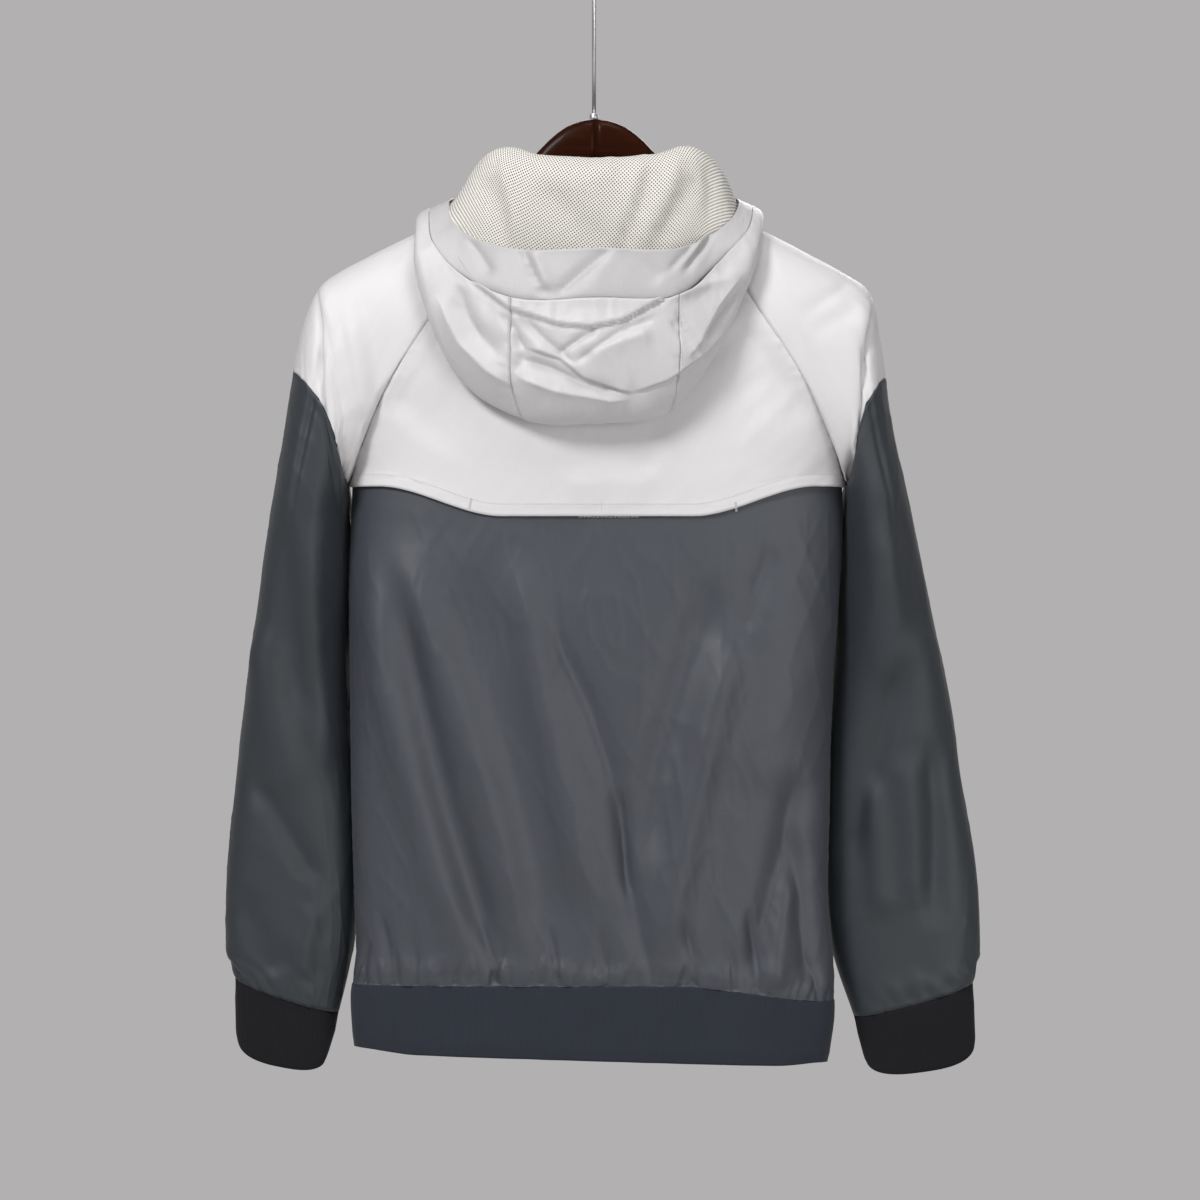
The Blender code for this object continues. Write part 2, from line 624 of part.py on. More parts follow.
def hood_profile(turn):
    """Knots of a hood section as distances out and up, with a running key for the smooth curve."""
    key = abs(turn)
    out = {name: read(HOOD, name, key) for name in HOOD}
    if turn < 0:
        wider = read(HOOD_LEFT, "out", key)
        lower = read(HOOD_LEFT, "up", key)
        out["far_out"] += wider
        out["foot_out"] += wider
        out["belly_out"] += wider
        out["rim_out"] += wider / 2
        out["foot_up"] += lower
        out["belly_up"] += lower / 2
    knots = [(-HOOD_SEAT, -HOOD_TUCK),
             (out["crest_out"] - out["roll"], out["crest_up"] - out["roll"]),
             (out["crest_out"], out["crest_up"]),
             (out["crest_out"] + out["roll"], out["crest_up"] - out["roll"]),
             (out["far_out"], out["far_up"]),
             (out["foot_out"], out["foot_up"]),
             ((out["foot_out"] + out["belly_out"] * 2) / 3 + out["roll"] * 0.25,
              (out["foot_up"] * 2 + out["belly_up"]) / 3),
             (out["belly_out"], out["belly_up"]),
             (out["rim_out"], out["rim_up"])]
    keys = [0.0]
    for a, b in zip(knots, knots[1:]):
        keys.append(keys[-1] + max(math.dist(a, b), 0.5) ** 0.5)
    return {"way": np.array(keys), "out": np.array([k[0] for k in knots]),
            "up": np.array([k[1] for k in knots])}


def hood_point(turn, knot):
    profile = hood_profile(turn)
    way = float(np.interp(knot, range(len(profile["way"])), profile["way"]))
    out = read(profile, "out", way)
    up = read(profile, "up", way)
    side = -1 if turn < 0 else 1
    aim = read(HOOD, "aim", abs(turn)) + (read(HOOD_LEFT, "aim", abs(turn)) if turn < 0 else 0.0)
    aim = math.radians(aim)
    spread = 1 - HOOD_SPREAD * math.sin(math.radians(turn)) * ease(out, 5, 40)
    base = neck_point(turn)
    return base + Vector((side * math.sin(aim) * out * spread, -math.cos(aim) * out, up))


def hood_turns(first_turn, last_turn):
    return spans(first_turn, last_turn, max(round((last_turn - first_turn) / HOOD_STEP), 1))


def hood_rows(turns, knots):
    return [[hood_point(turn, knot) for turn in turns] for knot in knots]


def add_hood():
    """Rows run from the neck to the rim, so a wall's outer face is the one towards the lining."""
    gap_turn = 0.1
    left = hood_turns(-HOOD_END, -HOOD_SEAM_TURN - gap_turn)
    centre = hood_turns(-HOOD_SEAM_TURN + gap_turn, HOOD_SEAM_TURN - gap_turn)
    right = hood_turns(HOOD_SEAM_TURN + gap_turn, HOOD_END)
    for name, turns in (("hood_left_side", left), ("hood_centre", centre), ("hood_right_side", right)):
        rows = hood_rows(turns, (0, *HOOD_KNOTS, BAND_KNOT))
        rows[-1] = drawn_back(rows[-1], rows[-2], HOOD_SEAM)
        cloth(name, rows, "hood_woven", even=True)
    whole = left[:-1] + [-HOOD_SEAM_TURN] + centre[1:-1] + [HOOD_SEAM_TURN] + right[1:]
    rows = hood_rows(whole, (BAND_KNOT, 7.72, 8))
    rows[0] = drawn_back(rows[0], rows[1], HOOD_SEAM)
    cloth("hood_band", rows, "hood_woven")
    rows = hood_rows(whole, (LINING_KNOT, *HOOD_KNOTS))
    rows[-1] = [a.lerp(b, LINING_SHORT) for a, b in zip(rows[-1], rows[-2])]
    cloth("hood_lining", moved_out(rows, LINING_GAP + NET), "net", wall=NET, even=True)


# ---- zip

def front_surface(z):
    """Y of the closed front at the centre line."""
    if z > BREAK_FRONT_Z:
        down = (NECK_FRONT_Z - z) / (NECK_FRONT_Z - BREAK_FRONT_Z)
        return read(FRONT_SEAM, "depth", down)
    return read(TORSO, "front", z)


def add_zip():
    rows = []
    for z in (*spans(NECK_FRONT_Z - 3, BREAK_FRONT_Z, 6), *spans(-500, HEM_BOTTOM_Z, 8)):
        rows.append([Vector((CENTRE_X + x, front_surface(z) - fold_depth(-x, z), z))
                     for x in spans(ZIP_WIDTH / 2, -ZIP_WIDTH / 2, 2)])
    cloth("zip_strip", rows, "zip_tape", wall=ZIP_WALL)


def frame_plate(name, size, slot, top_bar, finish):
    """A plate with a slot near its top, lying across Y, its top bar centred on the origin."""
    width, thick, tall = size
    xs = (-width / 2, -slot[0] / 2, slot[0] / 2, width / 2)
    zs = (top_bar / 2, -top_bar / 2, -top_bar / 2 - slot[1], top_bar / 2 - tall)
    mesh = bmesh.new()
    grid = [[mesh.verts.new((x * MM, -thick / 2 * MM, z * MM)) for x in xs] for z in zs]
    for row in range(3):
        for col in range(3):
            if (row, col) != (1, 1):
                mesh.faces.new((grid[row][col], grid[row + 1][col], grid[row + 1][col + 1],
                                grid[row][col + 1]))
    bmesh.ops.recalc_face_normals(mesh, faces=mesh.faces[:])
    made = bmesh.ops.extrude_face_region(mesh, geom=mesh.faces[:])
    lifted = [item for item in made["geom"] if isinstance(item, bmesh.types.BMVert)]
    bmesh.ops.translate(mesh, verts=lifted, vec=(0, thick * MM, 0))
    bmesh.ops.recalc_face_normals(mesh, faces=mesh.faces[:])
    data = bpy.data.meshes.new(name)
    mesh.to_mesh(data)
    mesh.free()
    return add_object(name, data, finish)


def slider_mesh():
    """The slider's body with a bridge over it, as one outline across X: the tunnel runs along X."""
    width, thick, tall = SLIDER_SIZE
    deep, high = TUNNEL
    wide, wall = BRIDGE
    mesh = bmesh.new()
    xs = (-width / 2, -wide / 2, wide / 2, width / 2)
    ys = (0, thick, thick + deep, thick + deep + wall)
    zs = (-tall / 2, -high / 2 - wall, -high / 2, high / 2, high / 2 + wall, tall / 2)
    solid = set()
    for i in range(3):
        for k in range(5):
            solid.add((i, 0, k))
    for k in (1, 3):
        solid.add((1, 1, k))
    for k in (1, 2, 3):
        solid.add((1, 2, k))
    verts = {}

    def vert(i, j, k):
        if (i, j, k) not in verts:
            verts[i, j, k] = mesh.verts.new((xs[i] * MM, ys[j] * MM, zs[k] * MM))
        return verts[i, j, k]

    sides = (((1, 0, 0), ((1, 0, 0), (1, 1, 0), (1, 1, 1), (1, 0, 1))),
             ((-1, 0, 0), ((0, 0, 0), (0, 0, 1), (0, 1, 1), (0, 1, 0))),
             ((0, 1, 0), ((0, 1, 0), (0, 1, 1), (1, 1, 1), (1, 1, 0))),
             ((0, -1, 0), ((0, 0, 0), (1, 0, 0), (1, 0, 1), (0, 0, 1))),
             ((0, 0, 1), ((0, 0, 1), (1, 0, 1), (1, 1, 1), (0, 1, 1))),
             ((0, 0, -1), ((0, 0, 0), (0, 1, 0), (1, 1, 0), (1, 0, 0))))
    for cell in sorted(solid):
        for step, face in sides:
            if tuple(a + b for a, b in zip(cell, step)) not in solid:
                mesh.faces.new([vert(*(a + b for a, b in zip(cell, corner))) for corner in face])
    data = bpy.data.meshes.new("zip_slider")
    mesh.to_mesh(data)
    mesh.free()
    return data


def add_slider():
    """The slider sits on the zip, in line with the front's slope, and the pull hangs in its tunnel."""
    below = front_surface(SLIDER_Z - 20)
    above = front_surface(SLIDER_Z)
    lean = math.atan2(below - above, 20)
    turned = Matrix.Rotation(lean, 4, "X")
    foot = Vector((CENTRE_X, above + SEAM + 0.2, SLIDER_Z)) * MM
    slider = add_object("zip_slider", slider_mesh(), "zip_metal")
    slider.matrix_world = Matrix.Translation(foot) @ turned
    axis_y = SLIDER_SIZE[1] + TUNNEL[0] / 2
    axis_z = -TUNNEL[1] / 2 + PULL_BAR / 2 + 2 * SEAM
    pull = frame_plate("zip_pull", PULL_SIZE, PULL_SLOT, PULL_BAR, "zip_metal")
    pull.matrix_world = Matrix.Translation(foot) @ turned @ Matrix.Translation(
        Vector((0, axis_y, axis_z)) * MM)


# ---- hanger

def shoulder_z(side, half):
    """Height of the shoulder's top line at a distance from the jacket's centre."""
    table = RINGS[side]
    xs = [NECK["x"][3], *table["out_x"][:4]]
    zs = [NECK["z"][3], *table["out_z"][:4]]
    return float(np.interp(half, xs, zs))


ARM = columns("x top tall thick", [
    (0.2, -149.0, 36, 14), (10, -150.5, 36, 14), (24, -155.5, 37, 14), (39, -167.0, 37, 14),
    (55, -184.5, 36, 14), (75, -211.0, 34, 14), (92, -234.5, 33, 15), (104, -236.0, 32, 15)])


def add_hanger():
    stations = [*ARM["x"], *spans(130, 210, 2), 218, ARM_LENGTH]
    shift = CENTRE_X / 2
    for side, sign in (("left", -1), ("right", 1)):
        rows = []
        for x in stations:
            if x <= ARM["x"][-1]:
                top, tall, thick = (read(ARM, c, x) for c in ("top", "tall", "thick"))
            else:
                world = shift + sign * x
                top = shoulder_z(side, abs(world - CENTRE_X)) - WOVEN * 1.12 - ARM_CLEAR
                tall = 32 - 8 * ease(x, 120, ARM_LENGTH)
                thick = 15
            if x > 210:
                shrink = 1 - 0.55 * ((x - 210) / (ARM_LENGTH - 210)) ** 2
                top -= tall * (1 - shrink) * 0.5
                tall *= shrink
                thick *= shrink
            row = []
            for turn in spans(0, 360, 14)[:-1]:
                c = power(math.cos(math.radians(turn)), 2 / 2.4)
                s = power(math.sin(math.radians(turn)), 2 / 2.4)
                row.append(Vector((shift + sign * x, -s * thick / 2, top - tall / 2 + c * tall / 2)))
            rows.append(row)
        mesh = bmesh.new()
        made = [[mesh.verts.new(p * MM) for p in row] for row in rows]
        for upper, lower in zip(made, made[1:]):
            bridge(mesh, [*upper, upper[0]], [*lower, lower[0]])
        mesh.faces.new(made[0])
        mesh.faces.new(made[-1])
        bmesh.ops.recalc_face_normals(mesh, faces=mesh.faces[:])
        data = bpy.data.meshes.new(f"hanger_{side}_arm")
        mesh.to_mesh(data)
        mesh.free()
        data.shade_smooth()
        add_object(f"hanger_{side}_arm", data, "wood")


def add_hook():
    """The wire rises from the collar and turns once over the origin."""
    collar_top = ARM["top"][0] + SEAM + COLLAR[1]
    centre = Vector((0, 0, -HOOK_INNER))
    radius = HOOK_INNER + WIRE / 2
    points = [centre + Vector((math.cos(math.radians(a)), 0, math.sin(math.radians(a)))) * radius
              for a in spans(200, -40, 20)]
    low = Vector((0, 0, collar_top + SEAM))
    joint = Vector((0, 0, points[-1].z - 17))
    tangent = Vector((-math.sin(math.radians(40)), 0, -math.cos(math.radians(40)))) * 14
    for t in spans(0, 1, 5)[1:]:
        a = points[20]
        b = a + tangent
        c = joint + Vector((0, 0, 10))
        points.append(a * (1 - t) ** 3 + 3 * b * t * (1 - t) ** 2 + 3 * c * t * t * (1 - t) + joint * t ** 3)
    points.append(low)
    curve = bpy.data.curves.new("hook", "CURVE")
    curve.dimensions = "3D"
    curve.bevel_depth = WIRE / 2 * MM
    curve.bevel_resolution = 2
    curve.use_fill_caps = True
    line = curve.splines.new("POLY")
    line.points.add(len(points) - 1)
    for item, point in zip(line.points, points):
        item.co = (*(point * MM), 1)
    hook = bpy.data.objects.new("hook", curve)
    bpy.context.collection.objects.link(hook)
    own = material("steel").copy()
    own.name = "hook_steel"
    curve.materials.append(own)

    mesh = bmesh.new()
    bmesh.ops.create_cone(mesh, cap_ends=True, segments=20, radius1=COLLAR[0] / 2 * MM,
                          radius2=COLLAR[0] / 2 * MM * 0.86, depth=COLLAR[1] * MM,
                          matrix=Matrix.Translation(Vector((0, 0, collar_top - COLLAR[1] / 2)) * MM))
    data = bpy.data.meshes.new("hook_collar")
    mesh.to_mesh(data)
    mesh.free()
    add_object("hook_collar", data, "steel")


def main():
    for old in list(bpy.data.objects):
        bpy.data.objects.remove(old)
    add_lower_panels()
    add_hem()
    add_yokes()
    add_vent_mesh()
    add_sleeves()
    add_hood()
    add_zip()
    add_slider()
    add_hanger()
    add_hook()


main()
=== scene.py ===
import json
import math

import bmesh
import bpy
import numpy as np
from mathutils import Matrix, Vector

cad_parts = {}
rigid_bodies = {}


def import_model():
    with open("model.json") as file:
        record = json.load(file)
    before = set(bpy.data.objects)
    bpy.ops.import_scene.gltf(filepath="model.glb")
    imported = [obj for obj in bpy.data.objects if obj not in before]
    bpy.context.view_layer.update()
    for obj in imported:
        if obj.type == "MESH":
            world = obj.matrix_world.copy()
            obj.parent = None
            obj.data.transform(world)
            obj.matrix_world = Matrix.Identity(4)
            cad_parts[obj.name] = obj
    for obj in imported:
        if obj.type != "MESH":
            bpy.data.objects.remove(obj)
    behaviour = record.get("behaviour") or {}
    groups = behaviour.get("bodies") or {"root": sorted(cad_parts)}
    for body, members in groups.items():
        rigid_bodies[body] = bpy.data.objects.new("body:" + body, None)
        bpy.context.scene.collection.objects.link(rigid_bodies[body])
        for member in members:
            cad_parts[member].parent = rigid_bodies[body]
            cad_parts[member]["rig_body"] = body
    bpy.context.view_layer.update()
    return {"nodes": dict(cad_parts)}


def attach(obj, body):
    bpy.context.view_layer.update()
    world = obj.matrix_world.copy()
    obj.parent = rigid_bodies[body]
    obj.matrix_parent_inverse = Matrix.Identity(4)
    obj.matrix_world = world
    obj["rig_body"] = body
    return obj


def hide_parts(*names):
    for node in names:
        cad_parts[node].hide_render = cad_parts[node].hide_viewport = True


# A hooded windbreaker on a wooden hanger. Lengths are in millimetres until a mesh is made; z is up, the
# back of the jacket faces -y, and the origin is the inside top of the hanger's hook.
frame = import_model()
mm = 0.001
body = "jacket"
print("frame loaded:", len(frame["nodes"]), "nodes")

jacket = {
    "centreX": 3.0,            # the jacket hangs this far to the right of the hook
    "square": 2.8,             # exponent of the body's rounded sections
    "sleeveSquare": 2.7,
    "wovenWall": 1.2, "ribWall": 2.0, "netWall": 0.8,
    "seam": 0.12,              # gap between two pieces that are sewn together
    "sideSeam": 0.1, "breakSeam": 0.3, "hoodSeam": 0.25, "liningGap": 0.85,
    "sleeveCrease": 0.35,      # share of the sleeves' long creases that the rings give by themselves
    "neckBackZ": -243.0, "neckFrontZ": -292.0, "lowerTopZ": -452.0, "breakFrontZ": -458.0, "flapZ": -481.0,
    "gatherZ": -836.0,         # where the panels' width is read for the gathered hem
    "hemTopZ": -869.0, "hemBottomZ": -931.0,
    "backCorner": 60.0, "frontCorner": 125.0,   # turns where the raglan seams meet the neck
    "zipWidth": 12.4, "halfWidth": 200,
    "yokeZ": -480.0, "waistZ": -700.0, "bandZ": -900.0}   # heights at which columns are spread evenly
zipReach = jacket["zipWidth"] / 2 + jacket["seam"]
zipTurn = math.degrees(math.asin((zipReach / jacket["halfWidth"]) ** (jacket["square"] / 2)))


def table(names, rows):
    return dict(zip(names.split(), np.array(rows, dtype=float).T))


def curve(tab, column, key):   # a smooth curve through the table's rows, read at every key
    keys, values = next(iter(tab.values())), tab[column]
    if keys[0] > keys[-1]:
        keys, values = keys[::-1], values[::-1]
    key = np.clip(key, keys[0], keys[-1])
    widths = np.diff(keys)
    slopes = np.diff(values) / widths
    tangents = np.concatenate([slopes[:1], (slopes[:-1] * widths[1:] + slopes[1:] * widths[:-1])
                               / (widths[1:] + widths[:-1]), slopes[-1:]])
    i = np.clip(np.searchsorted(keys, key) - 1, 0, len(keys) - 2)
    t = (key - keys[i]) / widths[i]
    start = (1 + 2 * t) * (1 - t) ** 2 * values[i] + t * (1 - t) ** 2 * widths[i] * tangents[i]
    return start + t * t * (3 - 2 * t) * values[i + 1] - t * t * (1 - t) * widths[i] * tangents[i + 1]


def ramp(value, low, high):
    t = np.clip((value - low) / (high - low), 0, 1)
    return t * t * (3 - 2 * t)


def unit(way):
    return way / np.linalg.norm(way, axis=-1, keepdims=True)


def summed(steps):   # distances along a path, from 0
    return np.concatenate([[0], np.cumsum(steps)])


def signed(value, exponent):
    return np.sign(value) * np.abs(value) ** exponent


def bell(value, wide, sharp=2):
    return np.exp(-(value / wide) ** sharp)


lattices = 97   # the noise repeats after this many cells


def noise(x, y, seed):   # smooth and repeatable, from -1 to 1
    lattice = np.random.default_rng(seed).uniform(-1, 1, (lattices, lattices))
    i, j = np.floor(x).astype(int), np.floor(y).astype(int)
    u, v = ramp(x - i, 0, 1), ramp(y - j, 0, 1)
    near = lattice[i % lattices, j % lattices] * (1 - u) + lattice[(i + 1) % lattices, j % lattices] * u
    far = lattice[i % lattices, (j + 1) % lattices] * (1 - u) + lattice[(i + 1) % lattices, (j + 1) % lattices] * u
    return near * (1 - v) + far * v


# each seed fixes one piece's own wrinkles; change one to fold that piece another way
seeds = {
    "back": 101, "backGather": 5, "front": 140, "frontGather": 31, "hemTop": 61, "hemLow": 62, "hemWave": 63,
    "yoke": 201, "flap": 207, "frontYoke": 230, "cap": 301, "capSeam": 311, "sleeve": 331, "sleeveSeam": 341,
    "sleeveBlouse": 345, "sleeveGather": 351, "cuffGather": 361, "cuffWave": 371, "hood": 401, "hoodSeam": 411,
    "bandWave": 431, "band": 433, "lining": 441}

# the jacket's sections
torso = table("z left right back front", [
    (-452, 204.0, 203.5, 64.5, 63.6), (-485, 205.5, 204.5, 66.0, 64.5), (-520, 207.0, 202.5, 66.5, 65.0),
    (-630, 206.0, 195.5, 65.5, 64.0), (-715, 205.0, 193.5, 62.0, 60.0), (-803, 202.5, 192.5, 57.5, 55.5),
    (-845, 201.0, 196.0, 55.5, 53.5), (-869, 204.0, 197.0, 53.0, 51.0), (-931, 203.0, 192.0, 50.0, 48.0)])
neck = table("turn x y z", [
    (0, 0, -40, -243), (30, 50, -38, -241), (60, 86, -25, -236), (90, 98, 0, -230),
    (125, 86, 26, -244), (150, 52, 43, -269), (180, 0, 50, -292)])
backSeam = table("down x y z depth", [
    (0.00, 86, -25, -236, 40), (0.15, 104, -41, -260, 48.5), (0.33, 128, -56, -303, 59.5),
    (0.50, 155, -60, -343, 64.0), (0.67, 176, -54, -378, 66.5), (0.84, 196, -33, -424, 67.8),
    (1.00, 207, 0, -456, 68.2)])
frontSeam = table("down x y z depth", [
    (0.00, 86, 26, -244, 50), (0.15, 106, 43, -272, 55.0), (0.33, 130, 55, -312, 59.5),
    (0.50, 156, 59, -348, 62.0), (0.67, 177, 53, -381, 63.5), (0.84, 196, 32, -426, 63.8),
    (1.00, 205.5, 0, -456, 63.8)])
ringNames = "ring outX outZ inX inZ midY halfY bow crease dip"
rings = {
    "left": table(ringNames, [
        (1, 149, -243.5, 208.0, -453.5, 0, 60, 2, 0, 0), (2, 187, -262.0, 209.0, -452.0, 0, 62, 4, 0, 0),
        (3, 219, -279.5, 210.0, -450.5, 0, 63, 6, 2, 0), (4, 234, -294.0, 211.3, -449.0, 0, 64, 8, 5, 0),
        (5, 246, -326.0, 212.7, -447.5, 0, 65, 10, 7, 0), (6, 253, -360.0, 214.0, -446.0, 0, 66, 12, 8, 0),
        (7, 258.5, -392, 208.5, -452.0, 0, 66, 10, 8, 0), (8, 264, -426, 206.0, -466.0, 0, 66, 7, 6, 0),
        (9, 269.5, -460, 205.0, -487.0, 2, 66, 3, 3, 0), (10, 280, -522, 203.5, -530.0, 8, 62, 0, 0, 0),
        (11, 287.5, -579, 204.0, -579.0, 17, 58, 0, 0, 0), (12, 294, -632, 205.0, -632.0, 24, 53, 0, 0, 0),
        (13, 303, -700, 204.0, -700.0, 29, 47, 0, 0, 0), (14, 310, -767, 201.5, -767.0, 28, 41, 0, 0, 0),
        (15, 311, -811, 201.5, -811.0, 28, 37, 0, 0, 0), (16, 309.5, -840, 205.0, -845.0, 28, 34, 0, 0, 2),
        (17, 303, -864, 216.0, -892.0, 25, 25, 0, 0, 6), (18, 302, -912, 226.0, -927.0, 22, 21, 0, 0, 20)]),
    "right": table(ringNames, [
        (1, 141, -244.5, 208.0, -453.5, 0, 60, 2, 0, 0), (2, 174, -261.0, 208.7, -452.0, 0, 62, 4, 0, 0),
        (3, 206, -278.5, 209.4, -450.5, 0, 63, 6, 2, 0), (4, 227.5, -296, 210.2, -449.0, 0, 64, 8, 4, 0),
        (5, 234.5, -330, 211.0, -448.0, 0, 65, 9, 5, 0), (6, 239.5, -364, 212.5, -447.5, 0, 66, 10, 5, 0),
        (7, 243.5, -394, 207.5, -454.0, 0, 66, 8, 5, 0), (8, 249.5, -425, 205.0, -466.0, 0, 66, 7, 6, 0),
        (9, 257, -460, 203.0, -487.0, 2, 66, 3, 3, 0), (10, 270.5, -518, 200.0, -526.0, 9, 62, 0, 0, 0),
        (11, 282, -572, 197.5, -575.0, 17, 57, 0, 0, 0), (12, 294, -632, 194.0, -632.0, 25, 51, 0, 0, 0),
        (13, 304.5, -700, 190.5, -700.0, 30, 45, 0, 0, 0), (14, 316.4, -767, 189.5, -767.0, 33, 39, 0, 0, 0),
        (15, 319.5, -811, 191.0, -811.0, 33, 36, 0, 0, 0), (16, 319, -843, 198.0, -850.0, 32, 32, 0, 0, 2),
        (17, 314, -868, 214.0, -896.0, 28, 25, 0, 0, 6), (18, 316, -918, 224.0, -930.0, 25, 21, 0, 0, 20)])}
tilt = table("ring tilt", [   # how far a ring's inner end lies forward, in front of the body's side
    (6, 0), (7, 4), (8, 26), (9, 42), (10, 40), (11, 26), (12, 12), (13, 4), (14, 0), (18, 0)])
loopTurns = [36, 49, 62, 70, 78, 92, 108, 126, 144, 162, 180]   # ring turns that meet the raglan seam
hood = table("turn aim crestOut crestUp roll farOut farUp footOut footUp bellyOut bellyUp rimOut rimUp", [
    (0, 0, 12, 53, 10, 27, -58, 41, -161, 72, -93, 60, -19),
    (25, 22, 11, 55, 10, 27, -56, 42, -153, 68, -90, 55, -21),
    (45, 34, 10, 59, 9, 29, -37, 46, -111, 60, -56, 42, -11),
    (60, 46, 9, 47, 8, 32, -12, 54, -56, 62, -27, 35, -1),
    (75, 68, 6, 30, 6, 23, 1, 44, -13, 48, -2, 25, 11),
    (90, 90, 3, 17, 3, 16, 3, 38, -8, 40, 2, 12, 14),
    (103, 106, 3, 17, 3, 14, 4, 34, -7, 39, 2, 20, 14),
    (114, 116, 3, 18, 3.5, 13.5, 5, 31, -7, 40, -2, 36, 11),
    (126, 129, 3, 20, 4, 13, 6, 24, -6, 34, -9, 44, -4),
    (138, 140, 2.5, 21, 4, 11, 6, 19, -7, 27, -13, 36, -15),
    (152, 153, 2, 22, 4, 10, 6, 15, -7, 20, -16, 25, -24),
    (172, 175, 1, 23, 4, 9, 7, 13, -6, 16, -16, 18, -25)])
hoodLeft = table("turn aim out up", [   # added on the left, where the hood hangs fuller
    (0, 0, 0, 0), (25, 2, 0, -6), (45, 12, 8, -17), (60, 6, 8, -15), (75, -8, 9, -7), (90, 0, 1, 0),
    (103, 0, 0, 0), (172, 0, 0, 0)])


def stack(*parts):
    return np.stack(np.broadcast_arrays(*parts), axis=-1).astype(float)


def torsoPoint(turn, z, key=None):   # turn 0 is the back's centre, 90 the right side, 180 the front
    key = z if key is None else key
    s, c = np.sin(np.radians(turn)), np.cos(np.radians(turn))
    half = np.where(s < 0, curve(torso, "left", key), curve(torso, "right", key))
    depth = np.where(c > 0, curve(torso, "back", key), curve(torso, "front", key))
    power = 2 / jacket["square"]
    return stack(half * signed(s, power) + jacket["centreX"], -depth * signed(c, power), z)


def hemTop(x):   # the hem seam sags to the right
    return jacket["hemTopZ"] - 14.0 * ramp(x, 60, 200)


def hemBottom(x):
    return jacket["hemBottomZ"] - 0.03 * x + 4.0 * ramp(-x, 150, 205) + 3.0 * ramp(x, 150, 195)


def neckPoint(turn):
    side, key = np.where(turn < 0, -1, 1), np.abs(turn)
    return stack(jacket["centreX"] + side * curve(neck, "x", key), curve(neck, "y", key), curve(neck, "z", key))


def yokePoint(seam, turn, down, corner, topZ, lowZ, face):   # between the neck and the lower edge
    share = signed(np.sin(np.radians(turn)), 2 / jacket["square"])
    square = jacket["square"]

    def between(down):
        edge, edgeY = curve(seam, "x", down), np.abs(curve(seam, "y", down))
        depth = curve(seam, "depth", down)
        reach = edge / (1 - (edgeY / depth) ** square) ** (1 / square)
        x = edge * share
        y = depth * np.maximum(1 - np.abs(x / reach) ** square, 0) ** (1 / square)
        drop = np.sin(math.pi / 2 * (1 - np.abs(share)))
        if face < 0:
            mix = ramp(down, 0.6, 1.0)
            drop = drop * (1 - mix) + (1 - ramp(np.abs(share), 0.38, 0.88)) * mix
        edgeZ = curve(seam, "z", down)
        return stack(x, y, edgeZ + (topZ + (lowZ - topZ) * down - edgeZ) * drop)
    point, start = between(down), between(down * 0)
    around = corner * turn / 90
    if face > 0:
        around = np.sign(turn) * (180 - (180 - corner) * np.abs(turn) / 90)
    edge = neckPoint(around)
    target = stack(edge[..., 0] - jacket["centreX"], np.abs(edge[..., 1]), edge[..., 2])
    point = point + (target - start) * (1 - ramp(down, 0, 0.3))[..., None]
    return stack(point[..., 0] + jacket["centreX"], face * np.maximum(point[..., 1], jacket["sideSeam"]),
                 point[..., 2])


def ringPoint(side, ring, turn):   # turn 0 is the sleeve's outer end, 90 its back, 180 the inner end
    tab, square = rings[side], jacket["sleeveSquare"]
    outX, outZ, inX, inZ = (curve(tab, c, ring) for c in ("outX", "outZ", "inX", "inZ"))
    halfX, halfZ = (outX - inX) / 2, (outZ - inZ) / 2
    length = np.hypot(halfX, halfZ)
    c = signed(np.cos(np.radians(turn)), 2 / square)
    s = signed(np.sin(np.radians(turn)), 2 / square)
    bow = curve(tab, "bow", ring) * (1 - c * c)
    halfY = curve(tab, "halfY", ring)
    crease = jacket["sleeveCrease"] * curve(tab, "crease", ring) * bell(np.abs(turn) - 70, 5.0)
    wayC, wayY = signed(c, square - 1) / length, -signed(s, square - 1) / halfY
    size = np.hypot(wayC, wayY)
    x = (outX + inX) / 2 + halfX * c - halfZ / length * bow - crease * wayC / size * halfX / length
    y = curve(tab, "midY", ring) - halfY * s - crease * wayY / size
    y = y + curve(tilt, "tilt", ring) * np.maximum(-c, 0) ** 2
    z = (outZ + inZ) / 2 + halfZ * c + halfX / length * bow - crease * wayC / size * halfZ / length
    z = z - curve(tab, "dip", ring) * s
    return stack(jacket["centreX"] + (x if side == "right" else -x), y, z)


def sleeveEdge(side, turn):   # the sleeve's edge along the neck and both raglan seams
    sign = 1 if side == "right" else -1
    front = turn < 0
    key = np.abs(turn)
    around = 90 + np.where(front, jacket["frontCorner"] - 90, jacket["backCorner"] - 90) * np.minimum(key / 36, 1)
    down = np.interp(key, loopTurns, np.linspace(0, 1, len(loopTurns)))
    seams = [stack(jacket["centreX"] + sign * curve(seam, "x", down), curve(seam, "y", down),
                   curve(seam, "z", down)) for seam in (backSeam, frontSeam)]
    edge = np.where(front[..., None], seams[1], seams[0])
    return np.where((key < 36)[..., None], neckPoint(sign * around), edge)


